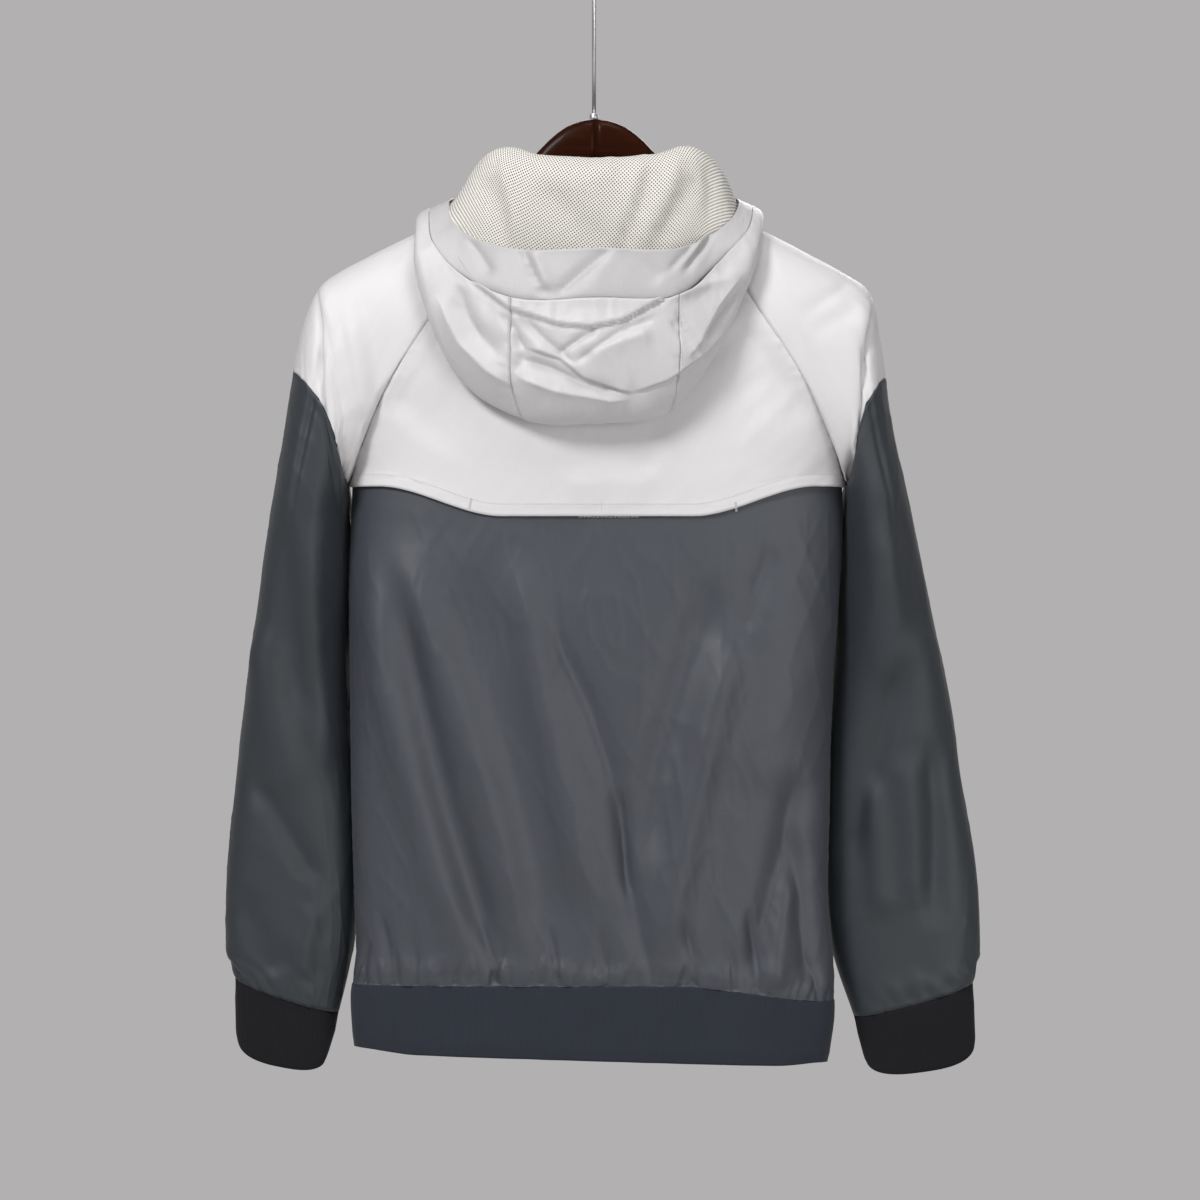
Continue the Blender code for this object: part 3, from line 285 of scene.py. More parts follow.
def hoodPoint(turn, knot):   # knots run from 0 at the neck over the crest, 2, and the foot, 5, to the rim, 8
    shape = np.broadcast(turn, knot).shape
    turn, knot = np.broadcast_to(turn, shape), np.broadcast_to(knot, shape)
    made = np.empty((*shape, 3))
    for one in np.unique(turn):
        key = abs(one)
        v = {name: float(curve(hood, name, key)) for name in hood}
        more = {name: float(curve(hoodLeft, name, key)) if one < 0 else 0.0 for name in hoodLeft}
        v["aim"] += more["aim"]
        for name, part in (("far", 1.0), ("foot", 1.0), ("belly", 1.0), ("rim", 0.5)):
            v[name + "Out"] += more["out"] * part
        v["footUp"] += more["up"]
        v["bellyUp"] += more["up"] / 2
        seat = jacket["wovenWall"] * 2 + 0.5
        outs = np.array([-seat, v["crestOut"] - v["roll"], v["crestOut"], v["crestOut"] + v["roll"], v["farOut"],
                         v["footOut"], (v["footOut"] + v["bellyOut"] * 2) / 3 + v["roll"] * 0.25, v["bellyOut"],
                         v["rimOut"]])
        ups = np.array([-3.0, v["crestUp"] - v["roll"], v["crestUp"], v["crestUp"] - v["roll"], v["farUp"],
                        v["footUp"], (v["footUp"] * 2 + v["bellyUp"]) / 3, v["bellyUp"], v["rimUp"]])
        gaps = np.maximum(np.hypot(np.diff(outs), np.diff(ups)), 0.5) ** 0.5
        way = {"way": summed(gaps), "out": outs, "up": ups}
        here = turn == one
        at = np.interp(knot[here], range(9), way["way"])
        out, up = curve(way, "out", at), curve(way, "up", at)
        aim = math.radians(v["aim"])
        spread = 1 - 0.10 * math.sin(math.radians(one)) * ramp(out, 5, 40)
        base = neckPoint(np.array(float(one)))
        sign = -1 if one < 0 else 1
        made[here] = base + stack(sign * math.sin(aim) * out * spread, -math.cos(aim) * out, up)
    return made


# grids of points: rows run down, columns run to the right as seen from outside
def normals(grid, closed=False):
    if closed:
        right = np.roll(grid, -1, axis=1) - np.roll(grid, 1, axis=1)
    else:
        right = np.gradient(grid, axis=1)
    down = np.gradient(grid, axis=0)
    n = np.cross(down, right)
    return n / np.maximum(np.linalg.norm(n, axis=-1, keepdims=True), 1e-9)


def ways(grid, closed=False):   # distances along the rows and down the columns
    turned = np.concatenate([grid, grid[:, :1]], axis=1) if closed else grid
    right = np.linalg.norm(np.diff(turned, axis=1), axis=-1)
    down = np.linalg.norm(np.diff(grid, axis=0), axis=-1)
    u = np.concatenate([np.zeros((grid.shape[0], 1)), np.cumsum(right, axis=1)], axis=1)
    v = np.concatenate([np.zeros((1, grid.shape[1])), np.cumsum(down, axis=0)], axis=0)
    return u, v


allEdges, sideEdges = ("top", "bottom", "left", "right"), ("left", "right")


def edgeDistance(grid, closed=False, sides=allEdges):   # to the nearest of the named edges
    u, v = ways(grid, closed)
    far = {"top": v, "bottom": v[-1:] - v}
    if not closed:
        far.update({"left": u, "right": u[:, -1:] - u})
    return np.minimum.reduce([far[side] for side in sides if side in far])


def fromLine(x, z, line):   # distance to a line of points, positive below it, and the share of its length
    path = np.array(line, dtype=float).reshape(-1, 2)
    lengths = np.linalg.norm(np.diff(path, axis=0), axis=1)
    best, way, side = np.full(x.shape, 1e9), np.zeros(x.shape), np.ones(x.shape)
    for k, (a, b) in enumerate(zip(path, path[1:])):
        t = np.clip(((x - a[0]) * (b - a)[0] + (z - a[1]) * (b - a)[1]) / lengths[k] ** 2, 0, 1)
        far = np.hypot(x - a[0] - t * (b - a)[0], z - a[1] - t * (b - a)[1])
        nearer = far < best
        way = np.where(nearer, (lengths[:k].sum() + t * lengths[k]) / lengths.sum(), way)
        turn = (b - a)[0] * (z - a[1]) - (b - a)[1] * (x - a[0])
        side = np.where(nearer, np.where(turn < 0, 1.0, -1.0), side)
        best = np.minimum(best, far)
    return best * side, way


def creased(x, z, creases):   # the height that a list of creases gives: each is (wide, deep, sharp, points)
    height = np.zeros(x.shape)
    for wide, deep, sharp, *line in creases:
        far, way = fromLine(x, z, line)
        fade = ramp(way, 0.0, 0.22) * (1 - ramp(way, 0.8, 1.0))
        height -= deep * fade * bell(np.abs(far), wide, sharp)
    return height


def overlaps(x, z, folds):   # where cloth laps over cloth: each is (wide, tall, side, points), side 1 is below
    height = np.zeros(x.shape)
    for wide, tall, side, *line in folds:
        far, way = fromLine(x, z, line)
        far = far * side
        fade = ramp(way, 0.0, 0.12) * (1 - ramp(way, 0.88, 1.0))
        height += tall * fade * (ramp(far, -1.0, 1.4) * np.exp(-np.maximum(far, 0) / wide)
                                 - 0.35 * bell(far + 1.6, 1.4))
    return height


def pucker(grid, closed, seed, size=0.5, reach=9.0, sides=allEdges):
    u, v = ways(grid, closed)
    u = u[:, :grid.shape[1]]
    far = edgeDistance(grid, closed, sides)
    wave = noise(u / 4.2 + 31, v / 34 + 17, seed) + noise(v / 4.2 + 11, u / 34 + 5, seed + 1)
    return size * wave * np.exp(-far / reach) - 0.14 * np.exp(-far / 1.0)


def gathers(u, far, seed, spacing, tall, amount):   # narrow valleys that climb from a gathered seam, both ways
    draw = np.random.default_rng(seed)
    height = np.zeros(u.shape)
    place, end = float(u.min()), float(u.max())
    while place < end:
        wide, high = draw.uniform(1.7, 2.9), draw.uniform(*tall)
        lean, hook = draw.uniform(-0.45, 0.45), draw.uniform(-0.35, 0.35)
        size = draw.uniform(0.35, 1.0) * amount
        across = u - place - lean * far - hook * far * far / high
        fade = ramp(high - far, 0, high * 0.75)
        height -= size * fade * bell(np.abs(across), wide * (0.8 + 1.1 * far / high), 1.2)
        place += draw.uniform(*spacing)
    return height


def blouse(u, far, seed, full, drop):   # cloth that bulges just above a gathered seam, and how far it hangs over
    reach = 12.0 + 5.0 * noise(u / 15 + 8, u * 0 + 2, seed + 1)
    swell = bell(far - reach, 0.4 * reach + 5.0) - 0.30 * bell(far, 4.0)
    swell = swell * (0.62 + 0.38 * noise(u / 11 + 1, far / 60 + 4, seed + 2))
    over = (0.55 + 0.45 * noise(u / 6.5 + 3, u * 0 + 5, seed)) * bell(far - 3.2, 2.6)
    return full * swell, drop * over


# meshes
def deselect():
    for item in bpy.context.selected_objects:
        item.select_set(False)


def gridMesh(name, grid, closed=False, calm=None):   # calm: the cloth before its creases, for an even weave
    rows, cols = grid.shape[:2]
    u, v = ways(grid if calm is None else calm, closed)
    if calm is not None:
        u = u.mean(axis=0)[None, :] + 0 * u
    u = u - u[:, cols // 2][:, None]
    if closed:
        v = np.concatenate([v, v[:, :1]], axis=1)
    span = cols if closed else cols - 1
    r, c = np.meshgrid(np.arange(rows - 1), np.arange(span), indexing="ij")
    after = (c + 1) % cols
    quads = np.stack([r * cols + c, (r + 1) * cols + c, (r + 1) * cols + after, r * cols + after], axis=-1)
    corners = np.stack([np.stack([a, b], axis=-1) for a, b in
                        ((u[r, c], v[r, c]), (u[r + 1, c], v[r + 1, c]), (u[r + 1, c + 1], v[r + 1, c + 1]),
                         (u[r, c + 1], v[r, c + 1]))], axis=2)
    quads, corners = quads.reshape(-1, 4), corners.reshape(-1, 4, 2)
    mesh = bpy.data.meshes.new(name)
    mesh.from_pydata((grid.reshape(-1, 3) * mm).tolist(), [], quads.tolist())
    layer = mesh.uv_layers.new(name="cloth")
    layer.data.foreach_set("uv", (corners * mm).astype(np.float32).ravel())
    mesh.shade_smooth()
    return mesh


def newPiece(name, mesh, finish):
    made = bpy.data.objects.new(name, mesh)
    bpy.context.collection.objects.link(made)
    mesh.materials.append(finish)
    return made


def clothPiece(name, grid, finish, node, wall=None, closed=False, calm=None):   # the cloth tables' cut entries give width, length, area, m
    made = newPiece(name, gridMesh(name, grid, closed, calm), finish)
    thick = made.modifiers.new("wall", "SOLIDIFY")
    thick.thickness = (jacket["wovenWall"] if wall is None else wall) * mm
    thick.offset = -1
    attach(made, body)
    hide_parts(node)
    return made


print("helpers ready")


# materials
def mathNode(tree, operation, a, b=0.0):
    node = tree.nodes.new("ShaderNodeMath")
    node.operation = operation
    for socket, value in zip(node.inputs, (a, b)):
        if isinstance(value, bpy.types.NodeSocket):
            tree.links.new(value, socket)
        else:
            socket.default_value = value
    return node.outputs[0]


def mixed(tree, *parts):   # the sum of sockets, each times its share
    total = None
    for socket, share in parts:
        part = mathNode(tree, "MULTIPLY", socket, share)
        total = part if total is None else mathNode(tree, "ADD", total, part)
    return total


def noiseNode(tree, vector, scale, detail=2.0, rough=0.5, distortion=0.0):
    node = tree.nodes.new("ShaderNodeTexNoise")
    tree.links.new(vector, node.inputs["Vector"])
    for name, value in (("Scale", scale), ("Detail", detail), ("Roughness", rough), ("Distortion", distortion)):
        node.inputs[name].default_value = value
    return node.outputs["Fac"]


def mapped(tree, vector, scale=(1, 1, 1), turn=(0, 0, 0)):
    node = tree.nodes.new("ShaderNodeMapping")
    tree.links.new(vector, node.inputs["Vector"])
    node.inputs["Scale"].default_value = scale
    node.inputs["Rotation"].default_value = turn
    return node.outputs[0]


def remap(tree, value, low, high, toLow=0.0, toHigh=1.0):
    node = tree.nodes.new("ShaderNodeMapRange")
    tree.links.new(value, node.inputs["Value"])
    for name, number in (("From Min", low), ("From Max", high), ("To Min", toLow), ("To Max", toHigh)):
        node.inputs[name].default_value = number
    return node.outputs["Result"]


def newGroup(name, outs, vectors=("Cloth", "Place"), **values):
    tree = bpy.data.node_groups.new(name, "ShaderNodeTree")
    for label in vectors:
        tree.interface.new_socket(label, in_out="INPUT", socket_type="NodeSocketVector")
    for label, value in values.items():
        tree.interface.new_socket(label, in_out="INPUT", socket_type="NodeSocketFloat").default_value = value
    for label in outs:
        tree.interface.new_socket(label, in_out="OUTPUT", socket_type="NodeSocketFloat")
    return tree, tree.nodes.new("NodeGroupInput").outputs, tree.nodes.new("NodeGroupOutput").inputs


def waves(tree, vector, pitch):   # the sines of both directions of a pattern
    apart = tree.nodes.new("ShaderNodeSeparateXYZ")
    tree.links.new(vector, apart.inputs[0])
    turns = mathNode(tree, "DIVIDE", 2 * math.pi, pitch)
    return [mathNode(tree, "SINE", mathNode(tree, "MULTIPLY", apart.outputs[k], turns)) for k in (0, 1)]


def makeWeave():   # a plain weave on the cloth's own map, with slubs, and the cloth's small unevenness
    tree, ins, outs = newGroup("plainWeave", ("Shade", "Height"), Pitch=0.0006, Softness=0.5)
    across, along = waves(tree, ins["Cloth"], ins["Pitch"])
    threads = mathNode(tree, "MULTIPLY", across, along)
    slub = noiseNode(tree, mapped(tree, ins["Cloth"], (90, 900, 1)), 1.0, 2.0)
    cross = noiseNode(tree, mapped(tree, ins["Cloth"], (900, 90, 1)), 1.0, 2.0)
    uneven = noiseNode(tree, ins["Place"], 42.0, 3.0, 0.55, 0.6)
    broad = noiseNode(tree, ins["Place"], 9.0, 2.0)
    tree.links.new(mixed(tree, (threads, 0.08), (slub, 0.10), (uneven, ins["Softness"])), outs["Height"])
    tree.links.new(mixed(tree, (slub, 0.35), (cross, 0.35), (broad, 0.3)), outs["Shade"])
    return tree


def makeNet():   # knitted mesh: small holes, half a pitch apart, on a turned square grid; the looks paint the holes dark as painted shade
    tree, ins, outs = newGroup("knittedMesh", ("Hole", "Height", "Shade"), Pitch=0.0044)
    turned = mapped(tree, ins["Cloth"], turn=(0, 0, math.radians(38)))
    across, along = waves(tree, turned, ins["Pitch"])
    both = mathNode(tree, "MULTIPLY", across, along)
    hole = remap(tree, mathNode(tree, "ABSOLUTE", both), 0.52, 0.80)
    tree.links.new(hole, outs["Hole"])
    tree.links.new(mathNode(tree, "SUBTRACT", 1.0, hole), outs["Height"])
    tree.links.new(noiseNode(tree, ins["Place"], 30.0, 3.0), outs["Shade"])
    return tree


def makeRibs():   # rib knit: ridges of stitches that run down the cloth, with the grooves between them painted darker as painted shade
    tree, ins, outs = newGroup("ribKnitShadedGrooves", ("Shade", "Height"), Pitch=0.0024)
    ridge, row = waves(tree, ins["Cloth"], ins["Pitch"])
    fuzz = noiseNode(tree, ins["Place"], 900.0, 3.0, 0.7)
    broad = noiseNode(tree, ins["Place"], 28.0, 3.0)
    tree.links.new(mixed(tree, (ridge, 0.42), (row, 0.05), (fuzz, 0.5)), outs["Height"])
    # Shade: the ridge sine paints the ridges lighter and the grooves darker, painted shade; fuzz and broad add the
    # knit's random tone
    tree.links.new(mixed(tree, (ridge, 0.18), (fuzz, 0.45), (broad, 0.35)), outs["Shade"])
    return tree


def makeGrain():   # varnished wood: long streaks with a few pores
    tree, ins, outs = newGroup("woodGrain", ("Shade", "Height"), ("Place",))
    streaks = noiseNode(tree, mapped(tree, ins["Place"], (14, 90, 120)), 1.0, 6.0, 0.62, 1.1)
    pores = noiseNode(tree, mapped(tree, ins["Place"], (60, 900, 900)), 1.0, 2.0)
    tree.links.new(streaks, outs["Shade"])
    tree.links.new(mixed(tree, (streaks, 0.4), (pores, 0.3)), outs["Height"])
    return tree


groups = {"weave": makeWeave(), "net": makeNet(), "ribs": makeRibs(), "grain": makeGrain()}


def finishMaterial(name, group, colour, dark, rough, values=(), bump=(0.5, 0.3), shine=(), mask="Shade",
                   span=(0.2, 0.8)):
    made = bpy.data.materials.new(name)
    made.use_nodes = True
    tree = made.node_tree
    shader = tree.nodes["Principled BSDF"]
    places = tree.nodes.new("ShaderNodeTexCoord")
    effect = tree.nodes.new("ShaderNodeGroup")
    effect.node_tree = groups[group]
    tree.links.new(places.outputs["Object"], effect.inputs["Place"])
    if "Cloth" in effect.inputs:
        tree.links.new(places.outputs["UV"], effect.inputs["Cloth"])
    for label, value in values:
        effect.inputs[label].default_value = value
    mix = tree.nodes.new("ShaderNodeMix")
    mix.data_type = "RGBA"
    mix.inputs["A"].default_value = (*colour, 1)
    mix.inputs["B"].default_value = (*dark, 1)
    tree.links.new(remap(tree, effect.outputs[mask], *span), mix.inputs["Factor"])
    tree.links.new(mix.outputs["Result"], shader.inputs["Base Color"])
    lift = tree.nodes.new("ShaderNodeBump")
    lift.inputs["Strength"].default_value, lift.inputs["Distance"].default_value = bump[0], bump[1] * mm
    tree.links.new(effect.outputs["Height"], lift.inputs["Height"])
    tree.links.new(lift.outputs["Normal"], shader.inputs["Normal"])
    shader.inputs["Roughness"].default_value = rough
    for label, value in shine:
        shader.inputs[label].default_value = value
    return made


def sheen(weight, rough):
    return ("Sheen Weight", weight), ("Sheen Roughness", rough)


soft, wovenBump, metal = (("Softness", 0.5),), (0.35, 0.9), (("Metallic", 1.0),)
# name, effect, colour, second colour, roughness, effect values, bump strength and height, shine
looks = {
    "light": ("light_woven", "weave", (0.76, 0.737, 0.746), (0.70, 0.68, 0.69), 0.52, soft, wovenBump,
              sheen(0.12, 0.4)),
    # hood_band_woven: painted darker than the hood's own cloth, painted shade that stands for the shade in the band's
    # creases
    "band": ("hood_band_woven", "weave", (0.555, 0.54, 0.545), (0.48, 0.47, 0.475), 0.34, soft, wovenBump,
             sheen(0.10, 0.3)),
    "hood": ("hood_woven", "weave", (0.66, 0.642, 0.649), (0.575, 0.562, 0.569), 0.36, soft, wovenBump,
             sheen(0.10, 0.3)),
    "body": ("body_woven", "weave", (0.069, 0.0750, 0.0905), (0.052, 0.057, 0.070), 0.42, soft, wovenBump,
             sheen(0.10, 0.3)),
    "sleeve": ("sleeve_woven", "weave", (0.0385, 0.0450, 0.0525), (0.028, 0.033, 0.0395), 0.46, soft, wovenBump,
               sheen(0.10, 0.3)),
    # cuff, hem and tape take painted shade in their grooves from the ribs' Shade, besides a random tone
    "cuff": ("cuff_rib", "ribs", (0.0073, 0.0072, 0.0096), (0.0134, 0.0131, 0.0172), 0.92, (), (0.5, 0.4),
             (("Specular IOR Level", 0.25), ("Sheen Weight", 0.04))),
    "hem": ("hem_rib", "ribs", (0.0215, 0.0258, 0.0370), (0.0300, 0.0350, 0.0485), 0.9, (), (0.25, 0.3),
            (("Specular IOR Level", 0.3), ("Sheen Weight", 0.08))),
    # lining_mesh: the second colour, painted into the holes, is painted shade: the shaded layer behind the mesh,
    # painted on instead of seen through
    "net": ("lining_mesh", "net", (0.82, 0.79, 0.735), (0.17, 0.155, 0.135), 0.75, (), (0.9, 0.7), (), "Hole",
            (0.0, 1.0)),
    # vent_mesh: painted shade: a darker grey mesh for the shade it lies in under the flap, with black holes for the
    # dark inside behind it
    "shadedVentNet": ("vent_mesh", "net", (0.34, 0.33, 0.33), (0.02, 0.02, 0.022), 0.8, (), (0.7, 0.5), (), "Hole",
                (0.0, 1.0)),
    "tape": ("zip_tape", "ribs", (0.020, 0.022, 0.025), (0.034, 0.036, 0.04), 0.75, (("Pitch", 0.0009),), (0.4, 0.3)),
    "wood": ("varnished_wood", "grain", (0.040, 0.0085, 0.0022), (0.011, 0.0026, 0.0010), 0.36, (), (0.2, 0.2),
             (("Specular IOR Level", 0.05), ("Coat Weight", 0.04), ("Coat Roughness", 0.08))),
    "steel": ("hook_steel", "grain", (0.82, 0.82, 0.83), (0.66, 0.66, 0.68), 0.36, (), (0.1, 0.05), metal),
    "zipMetal": ("zip_metal", "grain", (0.26, 0.26, 0.27), (0.16, 0.16, 0.17), 0.34, (), (0.2, 0.08), metal),
    "teeth": ("zip_teeth", "grain", (0.030, 0.031, 0.034), (0.02, 0.02, 0.022), 0.4, (), (0.1, 0.05)),
    "lightThread": ("light_thread", "weave", (0.66, 0.64, 0.645), (0.5, 0.49, 0.5), 0.6),
    "darkThread": ("dark_thread", "weave", (0.040, 0.046, 0.056), (0.024, 0.028, 0.034), 0.6)}
looks = {name: finishMaterial(*row) for name, row in looks.items()}
print("finishes made:", len(looks))


# cloth grids, in millimetres
def evenTurns(first, last, count, section):   # turns whose points lie at even distances round a section
    fine = np.linspace(first, last, 16001)
    steps = np.linalg.norm(np.diff(section(fine), axis=0), axis=1)
    return np.interp(np.linspace(0, 1, count), summed(steps) / steps.sum(), fine)


def torsoTurns(first, last, count, z):
    return evenTurns(first, last, count, lambda turn: torsoPoint(turn, z))


def frontTurns(sign, end, count, z):
    return torsoTurns(90, end, count, z) if sign > 0 else torsoTurns(-end, -90, count, z)


def besideZip(grid, sign):   # a front panel's edge runs straight down beside the zip
    grid[:, -1 if sign > 0 else 0, 0] = jacket["centreX"] + sign * zipReach
    return grid


def pullIn(grid, edge, beside, gap):   # draws an end row back from the seam
    grid[edge] += unit(grid[beside] - grid[edge]) * jacket[gap]


def crumple(u, v, seed, size):   # thin nylon's wrinkles: soft swells, and sharper creases that lean both ways
    swell = noise(u / 62 + 7, v / 95 + 3, seed) * 0.9 + noise(u / 27 + 5, v / 44 + 9, seed + 1) * 0.32
    height = swell
    for k, (lean, wide, long) in enumerate(((0.45, 21, 80), (-0.5, 24, 90), (0.1, 15, 70))):
        across, along = (u - lean * v) / wide, (v + lean * u) / long
        ridge = 1 - np.abs(noise(across + 20 + 13 * k, along + 40, seed + 2 + k))
        height = height + 0.55 * (ridge ** 7 - 0.2)
    return size * height


def lifted(grid, height, closed=False):
    return grid + normals(grid, closed) * height[..., None]


def raised(grid, by):
    return grid + normals(grid) * by


def gathered(grid, height, along, below, ends, cloth, blouseSeed, seed, closed=False):   # a lower end drawn in on a rib
    full, over = blouse(along, below, blouseSeed, cloth["bulge"], cloth["hangOver"])
    pinch = gathers(along, below, seed, cloth["gatherSpacing"], cloth["gatherTall"], cloth["gatherSize"])
    made = lifted(grid, height + (full + pinch * ramp(below, -1.5, 3.0)) * ends, closed)
    made[..., 2] -= over * ends
    return made


bodyCloth = {
    "rows": 140, "backColumns": 232, "frontRows": 96, "frontColumns": 84,
    "cut": (0.475, 0.430, 0.200), "frontCut": (0.235, 0.425, 0.096), "restless": 0.9,
    "gatherSpacing": (5.5, 13.0), "gatherTall": (8.0, 52.0), "gatherSize": 3.8, "foldSize": 1.55,
    "bulge": 3.6, "hangOver": 2.4}
# creases are (wide, deep, sharp, then the line's points as x, z); a negative depth is a ridge
backFolds = [
    (17, -5.0, 2, -188, -490, -170, -617, -149, -700, -128, -779, -92, -868),
    (13, 6.0, 2, -163, -520, -150, -610, -128, -700, -104, -779, -76, -868),
    (16, -4.5, 2, -170, -480, -140, -567, -107, -650, -78, -742, -56, -850),
    (24, 3.5, 2, -105, -500, -90, -600, -62, -700, -42, -790, -34, -868),
    (15, -4.5, 2, -62, -500, -45, -625, -24, -717, -4, -815),
    (9, 3.5, 1.5, -41, -540, -24, -596, -2, -640, 14, -690, 24, -758, 38, -825, 52, -885),
    (5, 3.2, 1.3, 20, -700, 25, -745, 28, -800),
    (17, 4.8, 2, 104, -520, 76, -608, 50, -700, 34, -785),
    (15, -4.8, 2, 122, -560, 90, -683, 66, -796, 50, -868),
    (12, 4.5, 1.7, 172, -680, 150, -790, 124, -880),
    (8, 3.5, 1.6, 165, -735, 172, -800, 178, -880),
    (10, -3.0, 2, 160, -770, 154, -820, 148, -880),
    (11, 2.5, 1.6, 150, -500, 128, -560, 110, -600), (30, -2.5, 2, 165, -520, 160, -620, 140, -720),
    (4, 2.2, 1.4, -178, -800, -170, -842, -166, -900), (4, 2.4, 1.4, -96, -812, -84, -846, -80, -900),
    (4, 2.0, 1.4, -36, -815, -32, -848, -31, -900), (4, 2.0, 1.4, 4, -818, 8, -850, 9, -900),
    (4, 2.2, 1.4, 74, -810, 82, -846, 84, -900), (4, 2.2, 1.4, 126, -800, 134, -842, 137, -900)]


def torsoGrid(turns, top, face):
    at = np.linspace(0, 1, bodyCloth["rows" if face < 0 else "frontRows"])[:, None]
    across = torsoPoint(turns, jacket["gatherZ"])[:, 0] - jacket["centreX"]
    seam = hemTop(across) + jacket["seam"]
    z = top + (seam - top) * (1 - (1 - at) ** 1.3)
    grid = torsoPoint(turns[None, :], z, np.maximum(z, jacket["hemTopZ"]))
    grid[..., 1] = face * np.maximum(face * grid[..., 1], jacket["sideSeam"])
    return grid


def finishPanel(grid, seed, folds=None, size=None, sides=allEdges, mirror=1.0):
    u, v = ways(grid)
    inside = edgeDistance(grid, sides=sideEdges)
    calm = ramp(inside, 0, 14) * 0.85 + 0.15
    height = crumple(u, v, seed, bodyCloth["restless"] if size is None else size) * calm
    if folds:
        deep = creased(mirror * grid[..., 0], grid[..., 2], folds)
        height = height + bodyCloth["foldSize"] * deep * ramp(inside, 0, 22)
    return height + pucker(grid, False, seed + 9, sides=sides)


def gatheredHem(grid, height, seed):   # the panel's lower end, gathered on to the rib
    u, v = ways(grid)
    below = v[-1:] - v
    ends = ramp(edgeDistance(grid, sides=sideEdges), 0, 26)
    calm = 1 - 0.6 * np.exp(-below / 12.0)
    return gathered(grid, height * calm, u, below, ends, bodyCloth, seed + 2, seed)


def addLowerPanels():
    turns = torsoTurns(-90, 90, bodyCloth["backColumns"], jacket["waistZ"])
    grid = torsoGrid(turns, jacket["lowerTopZ"], -1)
    v = ways(grid)[1]
    height = finishPanel(grid, seeds["back"], backFolds, sides=sideEdges)
    height = np.where(v < 70, np.minimum(height, height * ramp(v, 26, 60)), height)
    back = gatheredHem(grid, height * ramp(v, 10, 45), seeds["backGather"])
    clothPiece("back_lower_panel", back, looks["body"], node="back_lower")
    fronts = {}
    for side, sign in (("right", 1), ("left", -1)):
        turns = frontTurns(sign, 180 - zipTurn, bodyCloth["frontColumns"], jacket["waistZ"])
        grid = besideZip(torsoGrid(turns, jacket["breakFrontZ"], 1), sign)
        height = finishPanel(grid, seeds["front"] + sign, backFolds, sides=("top", *sideEdges), mirror=-1.0)
        fronts[side] = gatheredHem(grid, height, seeds["frontGather"] + sign)
        clothPiece(f"front_{side}_lower_panel", fronts[side], looks["body"],
                   node=f"front_{side}_lower")
    return fronts


hemCloth = {"rows": 30, "columns": 400, "cut": (0.880, 0.064, 0.0563), "gatherSpacing": (6.0, 11.0),
            "topGathers": ((8.0, 30.0), 0.9), "lowGathers": ((6.0, 18.0), 0.4)}   # how tall, and how deep


def addHem():
    edge = 180 - zipTurn
    turns = torsoTurns(-edge, edge, hemCloth["columns"], jacket["bandZ"])
    share = np.linspace(0, 1, hemCloth["rows"])[:, None]
    across = torsoPoint(turns, jacket["hemTopZ"])[:, 0] - jacket["centreX"]
    z = hemTop(across) + (hemBottom(across) - hemTop(across)) * share
    key = jacket["hemTopZ"] + (jacket["hemBottomZ"] - jacket["hemTopZ"]) * share
    grid = torsoPoint(turns[None, :], z, key + 0 * z)
    grid[:, 0, 0], grid[:, -1, 0] = jacket["centreX"] - zipReach, jacket["centreX"] + zipReach
    u, v = ways(grid)
    height = np.interp(share, (0, 0.15, 0.85, 1), (-0.1, 0.5, 0.5, -0.4)) + 0 * z
    ends = ramp(edgeDistance(grid, sides=sideEdges), 0, 8)
    height += ends * (gathers(u, v, seeds["hemTop"], hemCloth["gatherSpacing"], *hemCloth["topGathers"])
                      + gathers(u, v[-1:] - v, seeds["hemLow"], hemCloth["gatherSpacing"], *hemCloth["lowGathers"])
                      + noise(u / 16, v / 60, seeds["hemWave"]) * 0.8)
    clothPiece("hem_rib", lifted(grid, height), looks["hem"], node="hem_band",
               wall=jacket["ribWall"])


yokeCloth = {"rows": 100, "backColumns": 190, "frontRows": 80, "frontColumns": 70, "cut": (0.485, 0.275, 0.078),
             "frontCut": (0.230, 0.270, 0.0315), "restless": 0.42}
yokeFolds = [
    (6, 1.6, 1.5, 106, -231, 122, -262, 142, -286), (5, 1.3, 1.5, 104, -265, 124, -280, 146, -291),
    (26, 2.2, 2, 178, -410, 150, -350, 128, -310), (30, 2.4, 2, 150, -400, 120, -370, 96, -330),
    (22, -1.8, 2, 190, -452, 160, -420, 128, -370), (24, 2.0, 2, -176, -400, -160, -350, -140, -300),
    (26, 1.8, 2, -150, -420, -118, -380, -98, -330), (30, 1.6, 2, -30, -455, 10, -430, 60, -440)]


